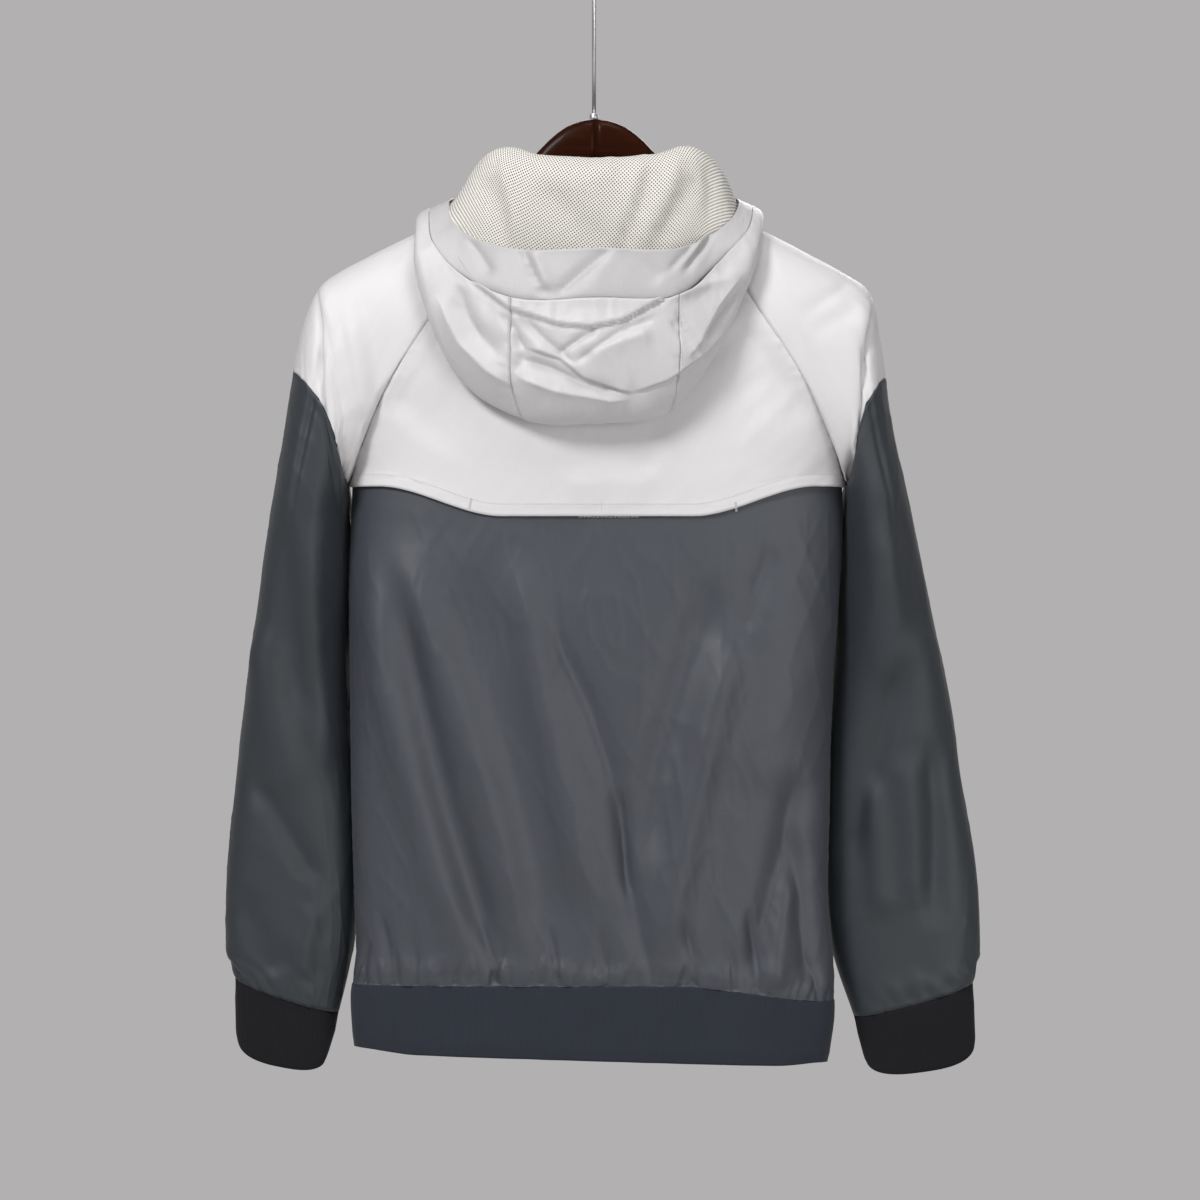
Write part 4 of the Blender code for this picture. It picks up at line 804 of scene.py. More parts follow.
def addYokes():
    turns = torsoTurns(-90, 90, yokeCloth["backColumns"], jacket["yokeZ"])
    down = np.linspace(0, 1, yokeCloth["rows"])[:, None]
    grid = yokePoint(backSeam, turns[None, :], down, jacket["backCorner"], jacket["neckBackZ"],
                     jacket["flapZ"], -1)
    u, v = ways(grid)
    height = finishPanel(grid, seeds["yoke"], yokeFolds, yokeCloth["restless"], sides=sideEdges)
    below = v[-1:] - v
    hemmed = -0.35 * bell(below - 10.0, 1.2) + 0.25 * ramp(10.5 - below, 0, 1.5)
    height += hemmed + noise(u / 9, v / 40, seeds["flap"]) * 0.3 * np.exp(-np.abs(below - 10) / 6)
    height = height + (np.abs(height) - height) * ramp(45 - below, 0, 20)
    flap = lifted(grid, height)
    clothPiece("back_yoke_panel", flap, looks["light"], node="back_yoke")
    fronts = {}
    for side, sign in (("right", 1), ("left", -1)):
        turns = frontTurns(sign, zipTurn, yokeCloth["frontColumns"], jacket["yokeZ"])
        down = np.linspace(0, 1, yokeCloth["frontRows"])[:, None]
        grid = yokePoint(frontSeam, turns[None, :], down, jacket["frontCorner"], jacket["neckFrontZ"],
                         jacket["breakFrontZ"] + jacket["seam"], 1)
        besideZip(grid, sign)
        height = finishPanel(grid, seeds["frontYoke"] + sign, yokeFolds, yokeCloth["restless"] * 1.4, mirror=-1.0)
        fronts[side] = lifted(grid, height)
        clothPiece(f"front_{side}_yoke_panel", fronts[side], looks["light"],
                   node=f"front_{side}_yoke")
    return flap, fronts


# the strip that shows below the flap: where it lies, and how far out of the body
ventMesh = {"left": -16, "right": 34, "columns": 60, "top": -471.7, "bottom": -482.2, "rows": 8, "bodyHalf": 205,
            "lift": 0.1, "cut": (0.050, 0.0105, 0.000525)}


def addVentMesh():
    x = np.linspace(ventMesh["left"], ventMesh["right"], ventMesh["columns"])[None, :]
    z = np.linspace(ventMesh["top"], ventMesh["bottom"], ventMesh["rows"])[:, None]
    square = jacket["square"]
    depth = curve(torso, "back", z + 0 * x) * (1 - np.abs(x / ventMesh["bodyHalf"]) ** square) ** (1 / square)
    grid = stack(x + jacket["centreX"], -depth - jacket["netWall"] - ventMesh["lift"], z)
    # the strip's look has the shade under the flap painted into its colour
    clothPiece("vent_mesh_strip", grid, looks["shadedVentNet"], node="vent_mesh", wall=jacket["netWall"])


frontLowers = addLowerPanels()
addHem()
yokeBack, frontYokes = addYokes()
addVentMesh()
print("body panels made")


sleeveCloth = {
    "evenRing": 9.0, "columns": 176, "capRows": 70, "rows": 116, "cuffRows": 24, "cuffColumns": 190,
    "capCut": (0.480, 0.245, 0.0480), "cut": (0.385, 0.515, 0.152), "cuffCut": (0.240, 0.046, 0.0103),
    "gatherSpacing": (5.5, 13.0), "gatherTall": (8.0, 44.0), "gatherSize": 3.2, "foldSize": 1.5,
    "bulge": 3.0, "hangOver": 2.2, "capRestless": 0.55, "restless": 0.9,
    "cuffGathers": ((7.0, 22.0), 0.8)}
# the long crease where each sleeve folds back from the shoulder: (wide, tall, side, points)
sleeveLaps = {
    "left": [(20, 3.2, -1, -231, -276, -228, -298, -225, -328, -224, -371, -220, -402, -214, -440, -209, -490)],
    "right": [(20, 3.2, 1, 231, -300, 228, -319, 222, -372, 217, -404, 209, -451, 205, -490)]}
sleeveFolds = {
    "left": [
        (9, 4.0, 1.6, -292, -690, -268, -720, -240, -768, -226, -790),
        (15, -3.5, 2, -286, -560, -268, -640, -250, -720),
        (14, 3.5, 2, -262, -470, -256, -560, -236, -660), (11, -3.0, 2, -236, -480, -232, -600, -222, -700),
        (14, 3.0, 2, -300, -790, -280, -830, -262, -868), (9, -2.5, 2, -232, -800, -240, -835, -246, -870)],
    "right": [
        (12, 4.5, 1.7, 262, -590, 246, -640, 226, -708, 205, -783), (10, -3.5, 2, 228, -690, 236, -750, 240, -820),
        (11, -3.0, 2, 256, -670, 264, -740, 266, -810), (10, 3.5, 2, 280, -660, 286, -740, 284, -830),
        (14, 3.0, 2, 250, -455, 262, -520, 276, -590), (13, -3.0, 2, 238, -480, 244, -560, 240, -630)]}
capFolds = {
    "left": [(3.4, 2.6, 1.4, -231, -276, -228, -298, -225, -328, -224, -371, -220, -402, -214, -440, -209, -490),
             (6, 1.6, 1.5, -214, -296, -204, -350, -190, -420), (8, 1.4, 1.6, -196, -285, -182, -340, -176, -400),
             (10, -1.4, 2, -206, -310, -196, -360, -188, -410), (5, 1.2, 1.5, -224, -305, -216, -350, -206, -400)],
    "right": [(3.4, 2.6, 1.4, 231, -300, 228, -319, 222, -372, 217, -404, 209, -451, 205, -490),
              (5, 1.8, 1.4, 122, -318, 134, -336, 150, -348), (5, 1.4, 1.5, 168, -318, 188, -304, 214, -286),
              (7, 1.3, 1.5, 176, -330, 200, -318, 222, -308), (9, 1.5, 1.6, 226, -320, 220, -370, 214, -430)]}


def ringTurns(side, columns):   # columns run to the right as seen from outside
    turns = evenTurns(-180, 180, columns + 1, lambda t: ringPoint(side, sleeveCloth["evenRing"], t))[:-1]
    return -turns if side == "right" else turns


def sleeveHeight(grid, side, seed, folds, size):
    n = normals(grid, True)
    u, v = ways(grid, True)
    facing = ramp(-n[..., 1], 0.0, 0.5)
    front = ramp(n[..., 1], 0.0, 0.5)
    angle = np.arange(grid.shape[1]) / grid.shape[1] * 2 * math.pi
    radius = u[:, -2].mean() / 2 / math.pi
    left = radius * np.cos(angle)[None, :] + 400 + 0 * v   # wraps round without a join
    height = crumple(left * 0.9 + 0.6 * radius * np.sin(angle)[None, :], v, seed, size)
    x, z = grid[..., 0], grid[..., 2]
    height += (sleeveCloth["foldSize"] * creased(x, z, folds) + overlaps(x, z, sleeveLaps[side])) * facing
    height += creased(x - 6, z - 20, folds) * front * 0.8
    return height


def addSleeve(side):
    turns = ringTurns(side, sleeveCloth["columns"])
    first = ringPoint(side, 1.0, turns)
    edge = sleeveEdge(side, turns)
    way = first - edge
    far = np.linalg.norm(way, axis=-1, keepdims=True)
    start = edge + way / np.maximum(far, 1e-6) * np.where(far > 1, jacket["seam"] + 0.1, 0.0)
    rows = sleeveCloth["capRows"]
    knots = np.linspace(1, 6, rows - 6)[:, None]
    rest = ringPoint(side, knots, turns[None, :])
    pullIn(rest, -1, -2, "breakSeam")
    toFirst = np.linspace(0, 1, 6, endpoint=False)[:, None, None]
    grid = np.concatenate([start + (rest[0] - start) * toFirst, rest])
    height = sleeveHeight(grid, side, seeds["cap"], capFolds[side], sleeveCloth["capRestless"])
    height = height * ramp(edgeDistance(grid, True, ("top",)), 0, 12) + pucker(grid, True, seeds["capSeam"])
    cap = lifted(grid, height, True)
    clothPiece(f"{side}_sleeve_cap", cap, looks["light"], node=f"{side}_sleeve_upper",
               closed=True)
    knots = np.linspace(6, 16.99, sleeveCloth["rows"])[:, None]
    grid = ringPoint(side, knots, turns[None, :])
    seam = ringPoint(side, 6.0, turns)
    way = ringPoint(side, 7.0, turns) - seam
    grid[0] = seam + unit(way) * jacket["breakSeam"]
    u, v = ways(grid, True)
    height = sleeveHeight(grid, side, seeds["sleeve"], sleeveFolds[side], sleeveCloth["restless"]) * ramp(v, 0, 10)
    height += pucker(grid, True, seeds["sleeveSeam"], sides=("top",))
    away = ramp(np.cos(np.radians(turns)), -0.85, -0.2)[None, :]   # the side towards the body stays flat
    lower = gathered(grid, height, u[:, :-1], v[-1:] - v, away, sleeveCloth, seeds["sleeveBlouse"],
                     seeds["sleeveGather"], True)
    clothPiece(f"{side}_sleeve_tube", lower, looks["sleeve"], node=f"{side}_sleeve_lower",
               closed=True)
    share = np.linspace(0, 1, sleeveCloth["cuffRows"])[:, None]
    turns = ringTurns(side, sleeveCloth["cuffColumns"])
    grid = ringPoint(side, 17 + share, turns[None, :])
    height = np.interp(share, (0, 0.4, 0.9, 1), (0.0, 1.0, 0.6, -0.3)) + 0 * grid[..., 0]
    u, v = ways(grid, True)
    u = u[:, :-1]
    height += (gathers(u, v, seeds["cuffGather"], hemCloth["gatherSpacing"], *sleeveCloth["cuffGathers"])
               + noise(u / 9, v / 40, seeds["cuffWave"]) * 0.4)
    clothPiece(f"{side}_cuff_rib", lifted(grid, height, True), looks["cuff"],
               node=f"{side}_cuff", wall=jacket["ribWall"], closed=True)
    return cap, lower


sleeves = {side: addSleeve(side) for side in ("left", "right")}
print("sleeves made")

hoodCloth = {
    "seamTurn": 25.0, "endTurn": 172.0, "seamGap": 0.04, "bandKnot": 7.45, "sideColumns": 120, "centreColumns": 88,
    "outerRows": 88, "innerRows": 26, "foldSize": 1.7, "liningLift": 3.0,
    "bandRows": 26, "bandColumns": 250, "liningColumns": 190,
    "foldTurns": (88, 108), "rollTurns": (52, 74), "liningTurns": (74, 96),   # where each dies away
    "sideCut": (0.340, 0.370, 0.0395), "centreCut": (0.142, 0.400, 0.0440), "bandCut": (0.820, 0.043, 0.0157),
    "liningCut": (0.800, 0.360, 0.0950)}
casingLine = (-125, -227, -119, -252, -110, -271, -98, -290, -70, -312, -28, -325.5, -2, -327.5, 24, -322,
              58, -303, 87, -280, 115, -252, 126, -230)
hoodLaps = [   # the gathered casing, the sweeping fold and the fold at the right
    (13, 3.4, -1, *casingLine),
    (16, 2.6, -1, -56, -344, -28, -353, -9, -369, 12, -376, 34, -381),
    (18, 2.0, -1, 30, -381, 60, -371, 72, -363, 92, -346, 110, -328)]
hoodFolds = [
    (5, 3.6, 1.3, -66, -351, -36, -361, -9, -374, 26, -381), (7, -3.2, 1.0, -68, -366, -32, -378, 11, -385, 32, -385.5),
    (2.6, 2.6, 1.3, -32, -351, -17, -340.5, 4, -327), (3, 2.6, 1.3, -20, -360, 2, -344, 21, -331, 54, -318),
    (3.5, 2.4, 1.4, -62, -316, -43, -335, -28, -348, -14, -359), (12, -2.6, 1.1, -12, -350, 20, -340, 50, -330),
    (9, -3.6, 1.0, -130, -298, -108, -340, -87, -361, -60, -377), (8, 2.6, 1.7, -118, -300, -100, -330, -76, -352),
    (5, 2.2, 1.5, -112, -290, -104, -318, -92, -340), (10, -3.4, 1.0, 124, -280, 102, -307, 73, -358),
    (5, 3.4, 1.2, 127, -288, 107, -314, 87, -341), (3, 2.0, 1.3, 66, -312, 76, -332, 92, -350),
    (3, 1.6, 1.3, 62, -320, 76, -340, 84, -356), (5, -2.0, 1.6, 126, -283, 92, -292, 56, -306),
    (3, 1.8, 1.3, -76, -314, -64, -330, -60, -348), (4, 1.8, 1.4, -66, -330, -57, -346, -64, -366),
    (14, -1.6, 2, -50, -395, 10, -398, 62, -390)]
bandFolds = [
    (2.6, 2.4, 1.3, -60, -258, -49, -284, -36, -306), (3, 2.6, 1.3, 18, -258, -13, -284, -36, -304),
    (8, 1.3, 1.8, 24, -258, 40, -276, 58, -290), (3, 2.2, 1.3, 56, -286, 77, -265, 106, -220),
    (3, 2.2, 1.3, 70, -288, 94, -254, 114, -220), (3, -1.6, 1.4, 66, -282, 86, -258, 108, -224),
    (4, 1.6, 1.4, -104, -252, -92, -270, -84, -284), (7, -1.4, 2, -52, -262, -44, -280, -40, -298)]
liningFolds = [
    (1.2, -0.7, 2, -57, -186, -57, -230, -57, -272), (4.5, 4.2, 1.5, 44, -266, 68, -227, 86, -200),
    (5, -3.0, 1.7, 28, -266, 55, -227, 73, -180), (4.5, 3.0, 1.6, 18, -266, 36, -233, 49, -192),
    (5, -2.4, 1.7, 8, -266, 28, -227, 43, -182), (9, 2.4, 1.8, -48, -208, -17, -237, 18, -262),
    (7, 3.4, 1.7, -92, -200, -77, -231, -72, -264), (6, -3.0, 1.7, -76, -184, -66, -227, -63, -264),
    (9, -1.8, 2, -52, -196, -17, -206, 24, -194), (5, 2.0, 1.5, 90, -190, 96, -214, 92, -240)]


shellKnots = np.concatenate([np.linspace(hoodCloth["bandKnot"], 5.0, hoodCloth["outerRows"], endpoint=False),
                             np.linspace(5.0, 0.0, hoodCloth["innerRows"])])


def within(turns, span):   # 1 round the back of the hood, falling to 0 over a span of turns
    return 1 - ramp(np.abs(turns), *span)[None, :]


def shellGrid(turns):
    grid = hoodPoint(turns[None, :], shellKnots[:, None])
    pullIn(grid, 0, 1, "hoodSeam")
    return raised(grid, jacket["wovenWall"]), shellKnots[:, None] + 0 * turns[None, :]


def hoodHeight(grid, knots, turns, seed):
    v = ways(grid)[1]
    x, z = grid[..., 0], grid[..., 2]
    outer = ramp(knots, 4.9, 5.4) * within(turns, hoodCloth["foldTurns"])
    around = turns[None, :] * 1.5 + 0 * v
    height = crumple(around * 1.5, v, seed, 0.6) * (0.35 + 0.65 * outer)
    height += (hoodCloth["foldSize"] * creased(x, z, hoodFolds) + 1.2 * overlaps(x, z, hoodLaps)) * outer
    far = fromLine(x, z, casingLine)[0]
    height += noise(around / 3.4 + 9, v / 34, seed + 5) * 1.2 * np.exp(-np.abs(far) / 11) * outer
    return height + 2.8 * np.exp(-v / 10.0) * outer * within(turns, hoodCloth["rollTurns"])


def shellPressed(liningKnots, turns, shellTurns, heights):   # how far the shell's valleys press on the lining
    deep = np.maximum(-heights, 0)
    rows = np.array([np.interp(liningKnots, shellKnots[::-1], column[::-1]) for column in deep.T]).T
    return np.array([np.interp(turns, shellTurns, row) for row in rows])


def addHood():
    end, seam, gap = hoodCloth["endTurn"], hoodCloth["seamTurn"], hoodCloth["seamGap"]
    spans = {"left_side": (-end, -seam - gap, hoodCloth["sideColumns"]),
             "centre": (-seam + gap, seam - gap, hoodCloth["centreColumns"]),
             "right_side": (seam + gap, end, hoodCloth["sideColumns"])}
    made, shellTurns, shellHeights = {}, [], []
    for name, (first, last, count) in spans.items():
        turns = np.linspace(first, last, count)
        grid, knots = shellGrid(turns)
        height = hoodHeight(grid, knots, turns, seeds["hood"]) + pucker(grid, False, seeds["hoodSeam"], 0.4, 7.0)
        made[name] = lifted(grid, height)
        shellTurns.append(turns)
        shellHeights.append(height)
        clothPiece(f"hood_{name}_panel", made[name], looks["hood"], node=f"hood_{name}")
    turns = np.linspace(-end, end, hoodCloth["bandColumns"])
    knots = np.linspace(8, hoodCloth["bandKnot"], hoodCloth["bandRows"])[:, None]
    grid = hoodPoint(turns[None, :], knots)
    pullIn(grid, -1, -2, "hoodSeam")
    grid = raised(grid, jacket["wovenWall"])
    u, v = ways(grid)
    height = hoodCloth["foldSize"] * creased(grid[..., 0], grid[..., 2], bandFolds)
    height += noise(turns[None, :] / 7 + 0 * v, v / 30, seeds["bandWave"]) * 0.7 + crumple(u, v, seeds["band"], 0.35)
    height += 0.7 * np.exp(-v / 2.2) - 0.5 * np.exp(-v / 0.8)
    height -= (0.2 + 1.4 * within(turns, hoodCloth["rollTurns"])) * np.exp(-(v[-1:] - v) / 4.0)
    made["band"] = lifted(grid, height)
    clothPiece("hood_edge_band", made["band"], looks["band"], node="hood_band")
    turns = np.linspace(-end, end, hoodCloth["liningColumns"])
    knots = np.concatenate([np.linspace(0.25, 5, 48, endpoint=False), np.linspace(5, 6.39, 18)])[:, None]
    grid = hoodPoint(turns[None, :], knots)
    grid = raised(grid, jacket["liningGap"] + jacket["netWall"])
    v = ways(grid)[1]
    hanging = ramp(v, 8, 35) * (1 - ramp(knots, 4.4, 4.9))
    height = crumple(turns[None, :] * 2.0 + 0 * v, v, seeds["lining"], 0.7) * ramp(v, 0, 25)
    behind = within(turns, hoodCloth["liningTurns"])
    height += (1.3 * creased(grid[..., 0], grid[..., 2], liningFolds) * behind + hoodCloth["liningLift"]) * hanging
    pressed = shellPressed(knots[:, 0], turns, np.concatenate(shellTurns), np.concatenate(shellHeights, axis=1))
    made["lining"] = lifted(grid, np.maximum(height, -0.3) + pressed + 0.9 * ramp(knots, 4.7, 5.2))
    clothPiece("hood_lining_net", made["lining"], looks["net"], node="hood_lining",
               wall=jacket["netWall"], calm=grid)
    return made


hoodGrids = addHood()
print("hood made")


# hard pieces, from clean copies of the solids
armJoint = {   # where the hanger's two arms meet, mm, and how much the ring next to it is drawn in
    "x": 1.5, "z": -167.6, "gap": 0.005, "thin": 0.872, "low": 0.942, "atEnd": 0.4, "nearEnd": 8}
hardPieces = {"merge": 0.02, "bevelSteps": 3, "sharp": 40.0, "smooth": 55.0, "flatEnd": 0.93}


def solidCopy(node, name, finish, bevel, rounder):
    source = frame["nodes"][node]
    mesh = source.data.copy()
    mesh.materials.clear()
    made = newPiece(name, mesh, finish)
    deselect()
    made.select_set(True)
    bpy.context.view_layer.objects.active = made
    bpy.ops.object.mode_set(mode="EDIT")
    bpy.ops.mesh.select_all(action="SELECT")
    bpy.ops.mesh.remove_doubles(threshold=hardPieces["merge"] * mm)
    bpy.ops.mesh.tris_convert_to_quads(face_threshold=math.radians(20), shape_threshold=math.radians(60))
    if rounder:   # more faces round and along, set out on the curve, but not on the flat ends
        bpy.ops.mesh.select_all(action="DESELECT")
        shape = bmesh.from_edit_mesh(made.data)
        for face in shape.faces:
            face.select_set(len(face.verts) < 5 and abs(face.normal.x) < hardPieces["flatEnd"])
        bmesh.update_edit_mesh(made.data)
        bpy.ops.mesh.subdivide(number_cuts=rounder, smoothness=1.0)
    bpy.ops.object.mode_set(mode="OBJECT")
    if rounder:   # the two arms meet flush, in a hairline
        for point in made.data.vertices:
            beside = point.co.x / mm - armJoint["x"]
            if abs(beside) < armJoint["atEnd"]:
                point.co.x = (armJoint["x"] + math.copysign(armJoint["gap"], beside)) * mm
            elif abs(beside) < armJoint["nearEnd"]:
                point.co.y *= armJoint["thin"]
                point.co.z = (armJoint["z"] + (point.co.z / mm - armJoint["z"]) * armJoint["low"]) * mm
    if bevel:
        edge = made.modifiers.new("edge", "BEVEL")
        edge.width, edge.segments, edge.limit_method = bevel * mm, hardPieces["bevelSteps"], "ANGLE"
        edge.angle_limit, edge.use_clamp_overlap = math.radians(hardPieces["sharp"]), True
    bpy.ops.object.shade_smooth_by_angle(angle=math.radians(hardPieces["smooth"]))
    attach(made, source["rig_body"])
    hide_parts(node)
    return made


for node, finish, width, rounder in (
        ("hanger_left_arm", "wood", 0.0, 1), ("hanger_right_arm", "wood", 0.0, 1),
        ("hook_collar", "steel", 0.5, 0), ("hook", "steel", 0.0, 0), ("zip_slider", "zipMetal", 0.35, 0),
        ("zip_pull", "zipMetal", 0.35, 0), ("zip_strip", "tape", 0.0, 0)):
    solidCopy(node, f"{node}_finished", looks[finish], bevel=width, rounder=rounder)
print("hanger and zip made")


# stitches and the zip's teeth: each shape is made once and copied along its line
thread = {
    "long": 2.5, "pitch": 3.2, "thick": 0.42, "inset": 1.6, "flapInset": 10.0, "zipInset": 3.0,
    "tackWide": 2.2, "tackPitch": 0.62, "neckFree": 104, "proud": 0.08,
    "tacks": ((-100.8, -466.2, -102.8, -475.6), (116.6, -469.2, 117.4, -477.4)),   # x, z of both ends
    "mark": (6.0, -466.5, 6.4, -479.0)}


def takeShape(item):   # the points and faces of a new piece, which is then cleared away
    points = np.array([vertex.co for vertex in item.data.vertices])
    faces = [list(face.vertices) for face in item.data.polygons]
    bpy.data.objects.remove(item)
    return points, faces


def stitchShape():   # a short rod with pointed ends, 1 mm long and wide
    deselect()
    bpy.ops.mesh.primitive_uv_sphere_add(segments=5, ring_count=4, radius=0.5)
    rod = bpy.context.object
    bpy.ops.object.mode_set(mode="EDIT")
    bpy.ops.mesh.select_all(action="SELECT")
    bpy.ops.transform.rotate(value=math.radians(90), orient_axis="Y", center_override=(0, 0, 0))
    bpy.ops.object.mode_set(mode="OBJECT")
    points, faces = takeShape(rod)
    points[:, 0] = np.sign(points[:, 0]) * np.minimum(np.abs(points[:, 0]) * 1.25, 0.5)
    return points, faces


def toothShape():   # one turn of the coil: a bar whose head is broader than its foot
    deselect()
    bpy.ops.mesh.primitive_cube_add(size=1.0)
    bar = bpy.context.object
    bpy.ops.object.mode_set(mode="EDIT")
    bpy.ops.mesh.select_all(action="SELECT")
    bpy.ops.mesh.bevel(offset=0.14, segments=1)
    bpy.ops.object.mode_set(mode="OBJECT")
    points, faces = takeShape(bar)
    points[:, 1] *= np.interp(points[:, 0], (-0.5, 0.1, 0.5), (0.7, 0.75, 1.15))
    return points, faces


def placeCopies(name, shape, places, sizes, finish):   # places: centre, way along, way out
    points, faces = shape
    centre, along, out = (np.array(part) for part in zip(*places))
    along = unit(along)
    out = unit(out - along * (out * along).sum(axis=1, keepdims=True))
    aside = np.cross(out, along)
    vectors = (centre[:, None] + along[:, None] * points[None, :, :1] * sizes[0]
               + aside[:, None] * points[None, :, 1:2] * sizes[1] + out[:, None] * points[None, :, 2:] * sizes[2])
    mesh = bpy.data.meshes.new(name)
    total = len(points)
    mesh.from_pydata((vectors.reshape(-1, 3) * mm).tolist(), [],
                     [[index + k * total for index in face] for k in range(len(centre)) for face in faces])
    mesh.shade_smooth()
    made = newPiece(name, mesh, finish)
    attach(made, body)
    return made


def insideEdge(grid, side, inset, closed=False):   # a line that keeps its distance from one edge, with normals
    n = normals(grid, closed)
    if side in ("left", "right"):
        grid, n = grid.transpose(1, 0, 2), n.transpose(1, 0, 2)
    if side in ("bottom", "right"):
        grid, n = grid[::-1], n[::-1]
    along = np.gradient(grid[0], axis=0)
    inward = grid[3] - grid[0]
    slant = np.linalg.norm(np.cross(along, inward), axis=1) / np.maximum(
        np.linalg.norm(along, axis=1) * np.linalg.norm(inward, axis=1), 1e-9)
    step = np.linalg.norm(np.diff(grid, axis=0), axis=-1)
    v = np.concatenate([np.zeros((1, grid.shape[1])), np.cumsum(step, axis=0)]) * np.maximum(slant, 0.3)
    return [np.array([[np.interp(inset, v[:, k], part[:, k, a]) for a in range(3)] for k in range(grid.shape[1])])
            for part in (grid, n)]


def onCloth(grid, line, step=1.0):   # a line of x, z points laid on the side of the cloth that faces the back
    path = np.array(line, dtype=float).reshape(-1, 2)
    way = summed(np.linalg.norm(np.diff(path, axis=0), axis=1))
    at = np.arange(0, way[-1], step)
    x, z = np.interp(at, way, path[:, 0]), np.interp(at, way, path[:, 1])
    n = normals(grid).reshape(-1, 3)
    flat = grid.reshape(-1, 3)
    back = n[:, 1] < -0.1
    flat, n = flat[back], n[back]
    found, outs = [], []
    for a, b in zip(x, z):
        far = np.hypot(flat[:, 0] - a, flat[:, 2] - b)
        near = np.argpartition(far, 4)[:4]
        share = 1 / (far[near] + 0.05)
        share /= share.sum()
        found.append((a, (flat[near, 1] * share).sum(), b))
        outs.append((n[near] * share[:, None]).sum(axis=0))
    return np.array(found), np.array(outs)


def readAt(at, way, line):   # the points at these distances along a line
    return np.stack([np.interp(at, way, line[:, a]) for a in range(3)], axis=1)


def stitches(line, out, pitch=None, keep=None):   # the places of single stitches along a line
    pitch = thread["pitch"] if pitch is None else pitch
    way = summed(np.linalg.norm(np.diff(line, axis=0), axis=1))
    at = np.arange(pitch / 2, way[-1], pitch)
    reach = thread["long"] / 2
    spot, first, last = (readAt(at + shift, way, line) for shift in (0, -reach, reach))
    face = readAt(at, way, out)
    places = zip(spot + face * thread["proud"], last - first + 1e-6, face)
    return [place for place in places if keep is None or keep(place[0])]


def tackRow(grid, ends):   # close bars of thread, crosswise to the row
    line, out = onCloth(grid, ends, 0.5)
    row = stitches(line, out, thread["tackPitch"])
    return [(place, np.cross(along, face), face) for place, along, face in row]


def addStitches():
    rod = stitchShape()
    size = (thread["long"], thread["thick"], thread["thick"])
    light, dark = looks["lightThread"], looks["darkThread"]

    def sew(name, finish, places):
        placeCopies(name, rod, places, size, finish)

    flap = stitches(*insideEdge(yokeBack, "bottom", thread["flapInset"]))
    sew("flap_stitches", light, flap + stitches(*onCloth(yokeBack, thread["mark"])))
    tacks = [place for ends in thread["tacks"] for place in tackRow(yokeBack, ends)]
    placeCopies("flap_bar_tacks", rod, tacks, (thread["tackWide"], thread["thick"], thread["thick"]), light)
    for side, (cap, lower) in sleeves.items():
        raglan = insideEdge(cap, "top", thread["inset"], True)
        sew(f"{side}_raglan_stitches", light,
            stitches(*raglan, keep=lambda p: abs(p[0] - jacket["centreX"]) > thread["neckFree"]))
        sew(f"{side}_sleeve_stitches", dark,
            stitches(*insideEdge(lower, "top", thread["inset"], True)))
        sew(f"zip_{side}_yoke_stitches", light,
            stitches(*insideEdge(frontYokes[side], side, thread["zipInset"])))
        sew(f"zip_{side}_body_stitches", dark,
            stitches(*insideEdge(frontLowers[side], side, thread["zipInset"])))
    outer = {name: hoodGrids[name][:hoodCloth["outerRows"]] for name in ("left_side", "centre", "right_side")}
    for name, edge in (("left_side", "right"), ("right_side", "left")):
        sew(f"hood_{name}_stitches", light, stitches(*insideEdge(outer[name], edge, thread["inset"])))
    sew("casing_stitches", light,
        stitches(*onCloth(np.concatenate(list(outer.values()), axis=1), casingLine)))


teeth = {"count": 260, "clear": 3, "aside": 0.9, "proud": 0.35, "size": (3.0, 1.9, 1.5), "castFrom": 0.3}


def addTeeth():
    tape = bpy.data.objects["zip_strip_finished"]
    points = np.array([vertex.co for vertex in tape.data.vertices]) / mm
    middle = points[np.abs(points[:, 0] - jacket["centreX"]) < 8]
    heights = np.linspace(middle[:, 2].min() + teeth["clear"], middle[:, 2].max() - teeth["clear"], teeth["count"])
    found = []
    for z in heights:
        hit, place, normal, _ = tape.ray_cast((jacket["centreX"] * mm, teeth["castFrom"], z * mm), (0, -1, 0))
        if hit:
            found.append((np.array(place) / mm, np.array(normal)))
    places = []
    for k, (place, normal) in enumerate(found):
        side = 1 if k % 2 else -1
        places.append((place + np.array((side * teeth["aside"], teeth["proud"], 0)), np.array((-side, 0, 0.0)), normal))
    placeCopies("zip_teeth", toothShape(), places, teeth["size"], looks["teeth"])


addStitches()
addTeeth()
print("stitches and teeth made")


# room
room = {
    "cameraAway": 5.2, "cameraX": 0.005, "cameraZ": -0.550, "pictureWide": 1.0, "planeY": 0.0,
    "sensor": 36.0, "aim": (0, 0, -0.55), "floorZ": -1.30, "floorY": -0.7, "floorSize": (4.0, 3.2),
    "floorGrey": 0.62, "floorRough": 0.8, "grey": (0.445, 0.435, 0.437), "ambient": 0.24,
    "lights": {"key": ((-1.35, -2.1, 1.35), 0.9, 58.0), "fill": ((1.8, -2.6, -0.45), 1.7, 23.0),
               "top": ((0.2, -0.9, 1.5), 1.0, 12.0), "front": ((0.5, 2.8, 0.7), 1.6, 34.0)}}


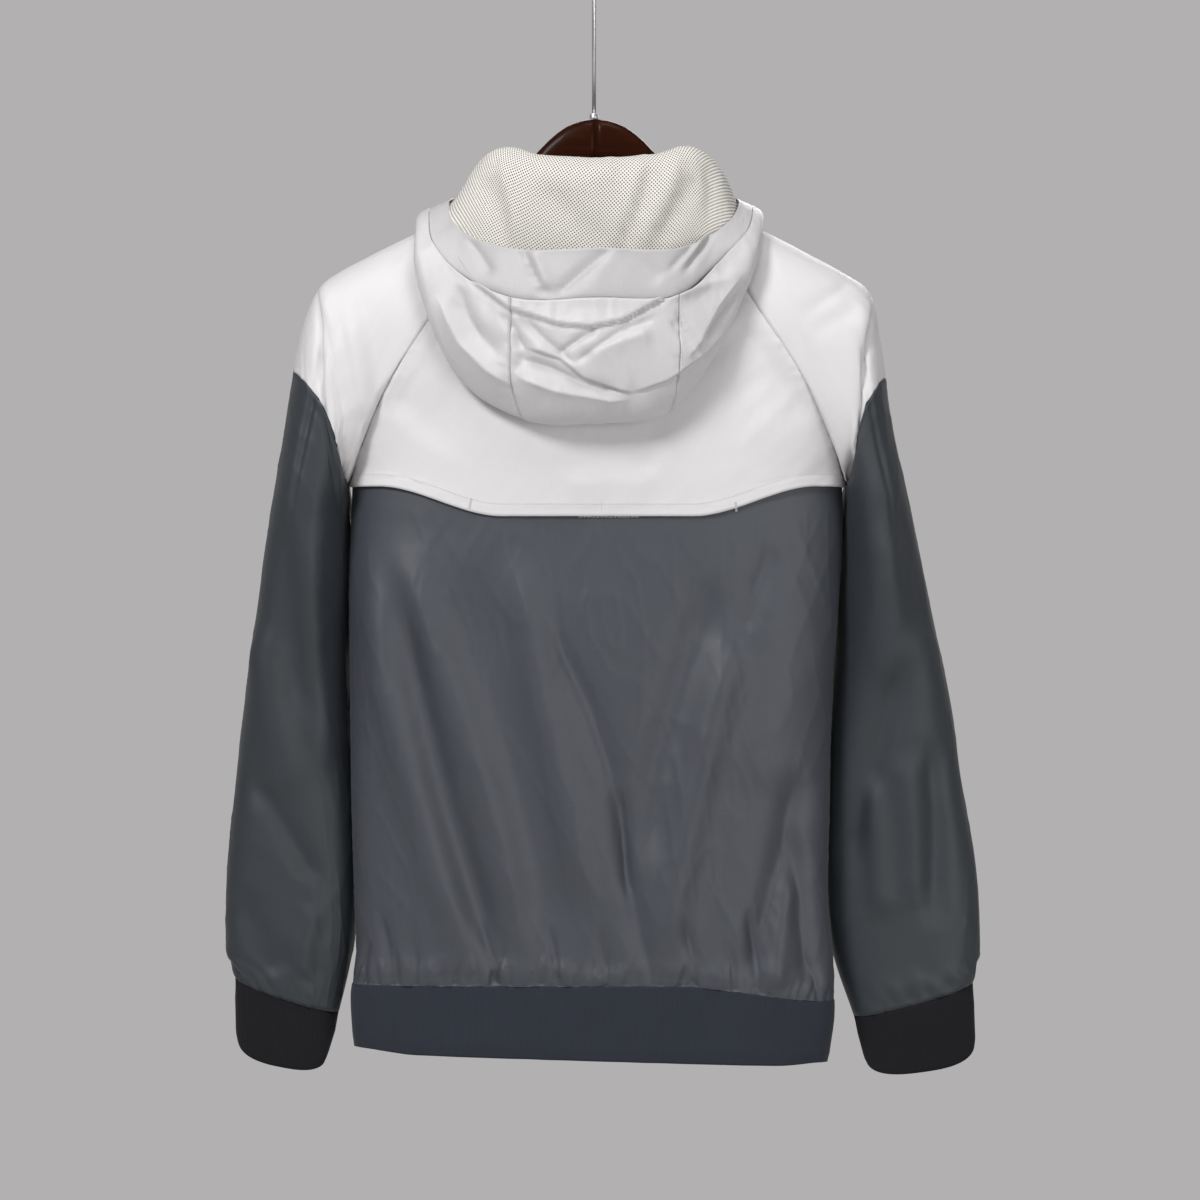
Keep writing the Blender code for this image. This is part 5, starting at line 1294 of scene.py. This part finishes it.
def makeRoom():
    camera = bpy.data.cameras.new("camera")
    camera.sensor_width = room["sensor"]
    holder = bpy.data.objects.new("camera", camera)
    bpy.context.collection.objects.link(holder)
    holder.location = (room["cameraX"], -room["cameraAway"], room["cameraZ"])
    holder.rotation_euler = (math.radians(90), 0, 0)
    camera.lens = room["sensor"] * (room["cameraAway"] + room["planeY"]) / room["pictureWide"]
    camera.clip_start, camera.clip_end = 0.1, 30
    bpy.context.scene.camera = holder
    world = bpy.data.worlds.new("studio")
    bpy.context.scene.world = world
    world.use_nodes = True
    tree = world.node_tree   # the backdrop's grey, and a dimmer light that comes from all around
    backdrop = tree.nodes["Background"]
    backdrop.inputs["Color"].default_value = (*room["grey"], 1)
    around = tree.nodes.new("ShaderNodeBackground")
    around.inputs["Color"].default_value = (1, 1, 1, 1)
    around.inputs["Strength"].default_value = room["ambient"]
    path, mix = tree.nodes.new("ShaderNodeLightPath"), tree.nodes.new("ShaderNodeMixShader")
    tree.links.new(path.outputs["Is Camera Ray"], mix.inputs["Fac"])
    tree.links.new(around.outputs[0], mix.inputs[1])
    tree.links.new(backdrop.outputs[0], mix.inputs[2])
    tree.links.new(mix.outputs[0], tree.nodes["World Output"].inputs["Surface"])
    bpy.context.scene.view_settings.view_transform = "Standard"
    for name, (place, size, power) in room["lights"].items():
        light = bpy.data.lights.new(name, "AREA")
        light.shape, light.size, light.energy = "DISK", size, power
        lamp = bpy.data.objects.new(name, light)
        bpy.context.collection.objects.link(lamp)
        lamp.location = place
        lamp.rotation_euler = (Vector(room["aim"]) - Vector(place)).to_track_quat("-Z", "Y").to_euler()
    deselect()
    bpy.ops.mesh.primitive_plane_add(size=1, location=(0, 0, 0))
    floor = bpy.context.object
    floor.name = "floor"
    floor.data.transform(Matrix.Translation((0, room["floorY"], room["floorZ"]))
                         @ Matrix.Diagonal((*room["floorSize"], 1.0, 1.0)))
    plain = bpy.data.materials.new("floor_paint")
    plain.use_nodes = True
    paint = plain.node_tree.nodes["Principled BSDF"].inputs
    paint["Base Color"].default_value = (*[room["floorGrey"]] * 3, 1)
    paint["Roughness"].default_value = room["floorRough"]
    floor.data.materials.append(plain)


makeRoom()
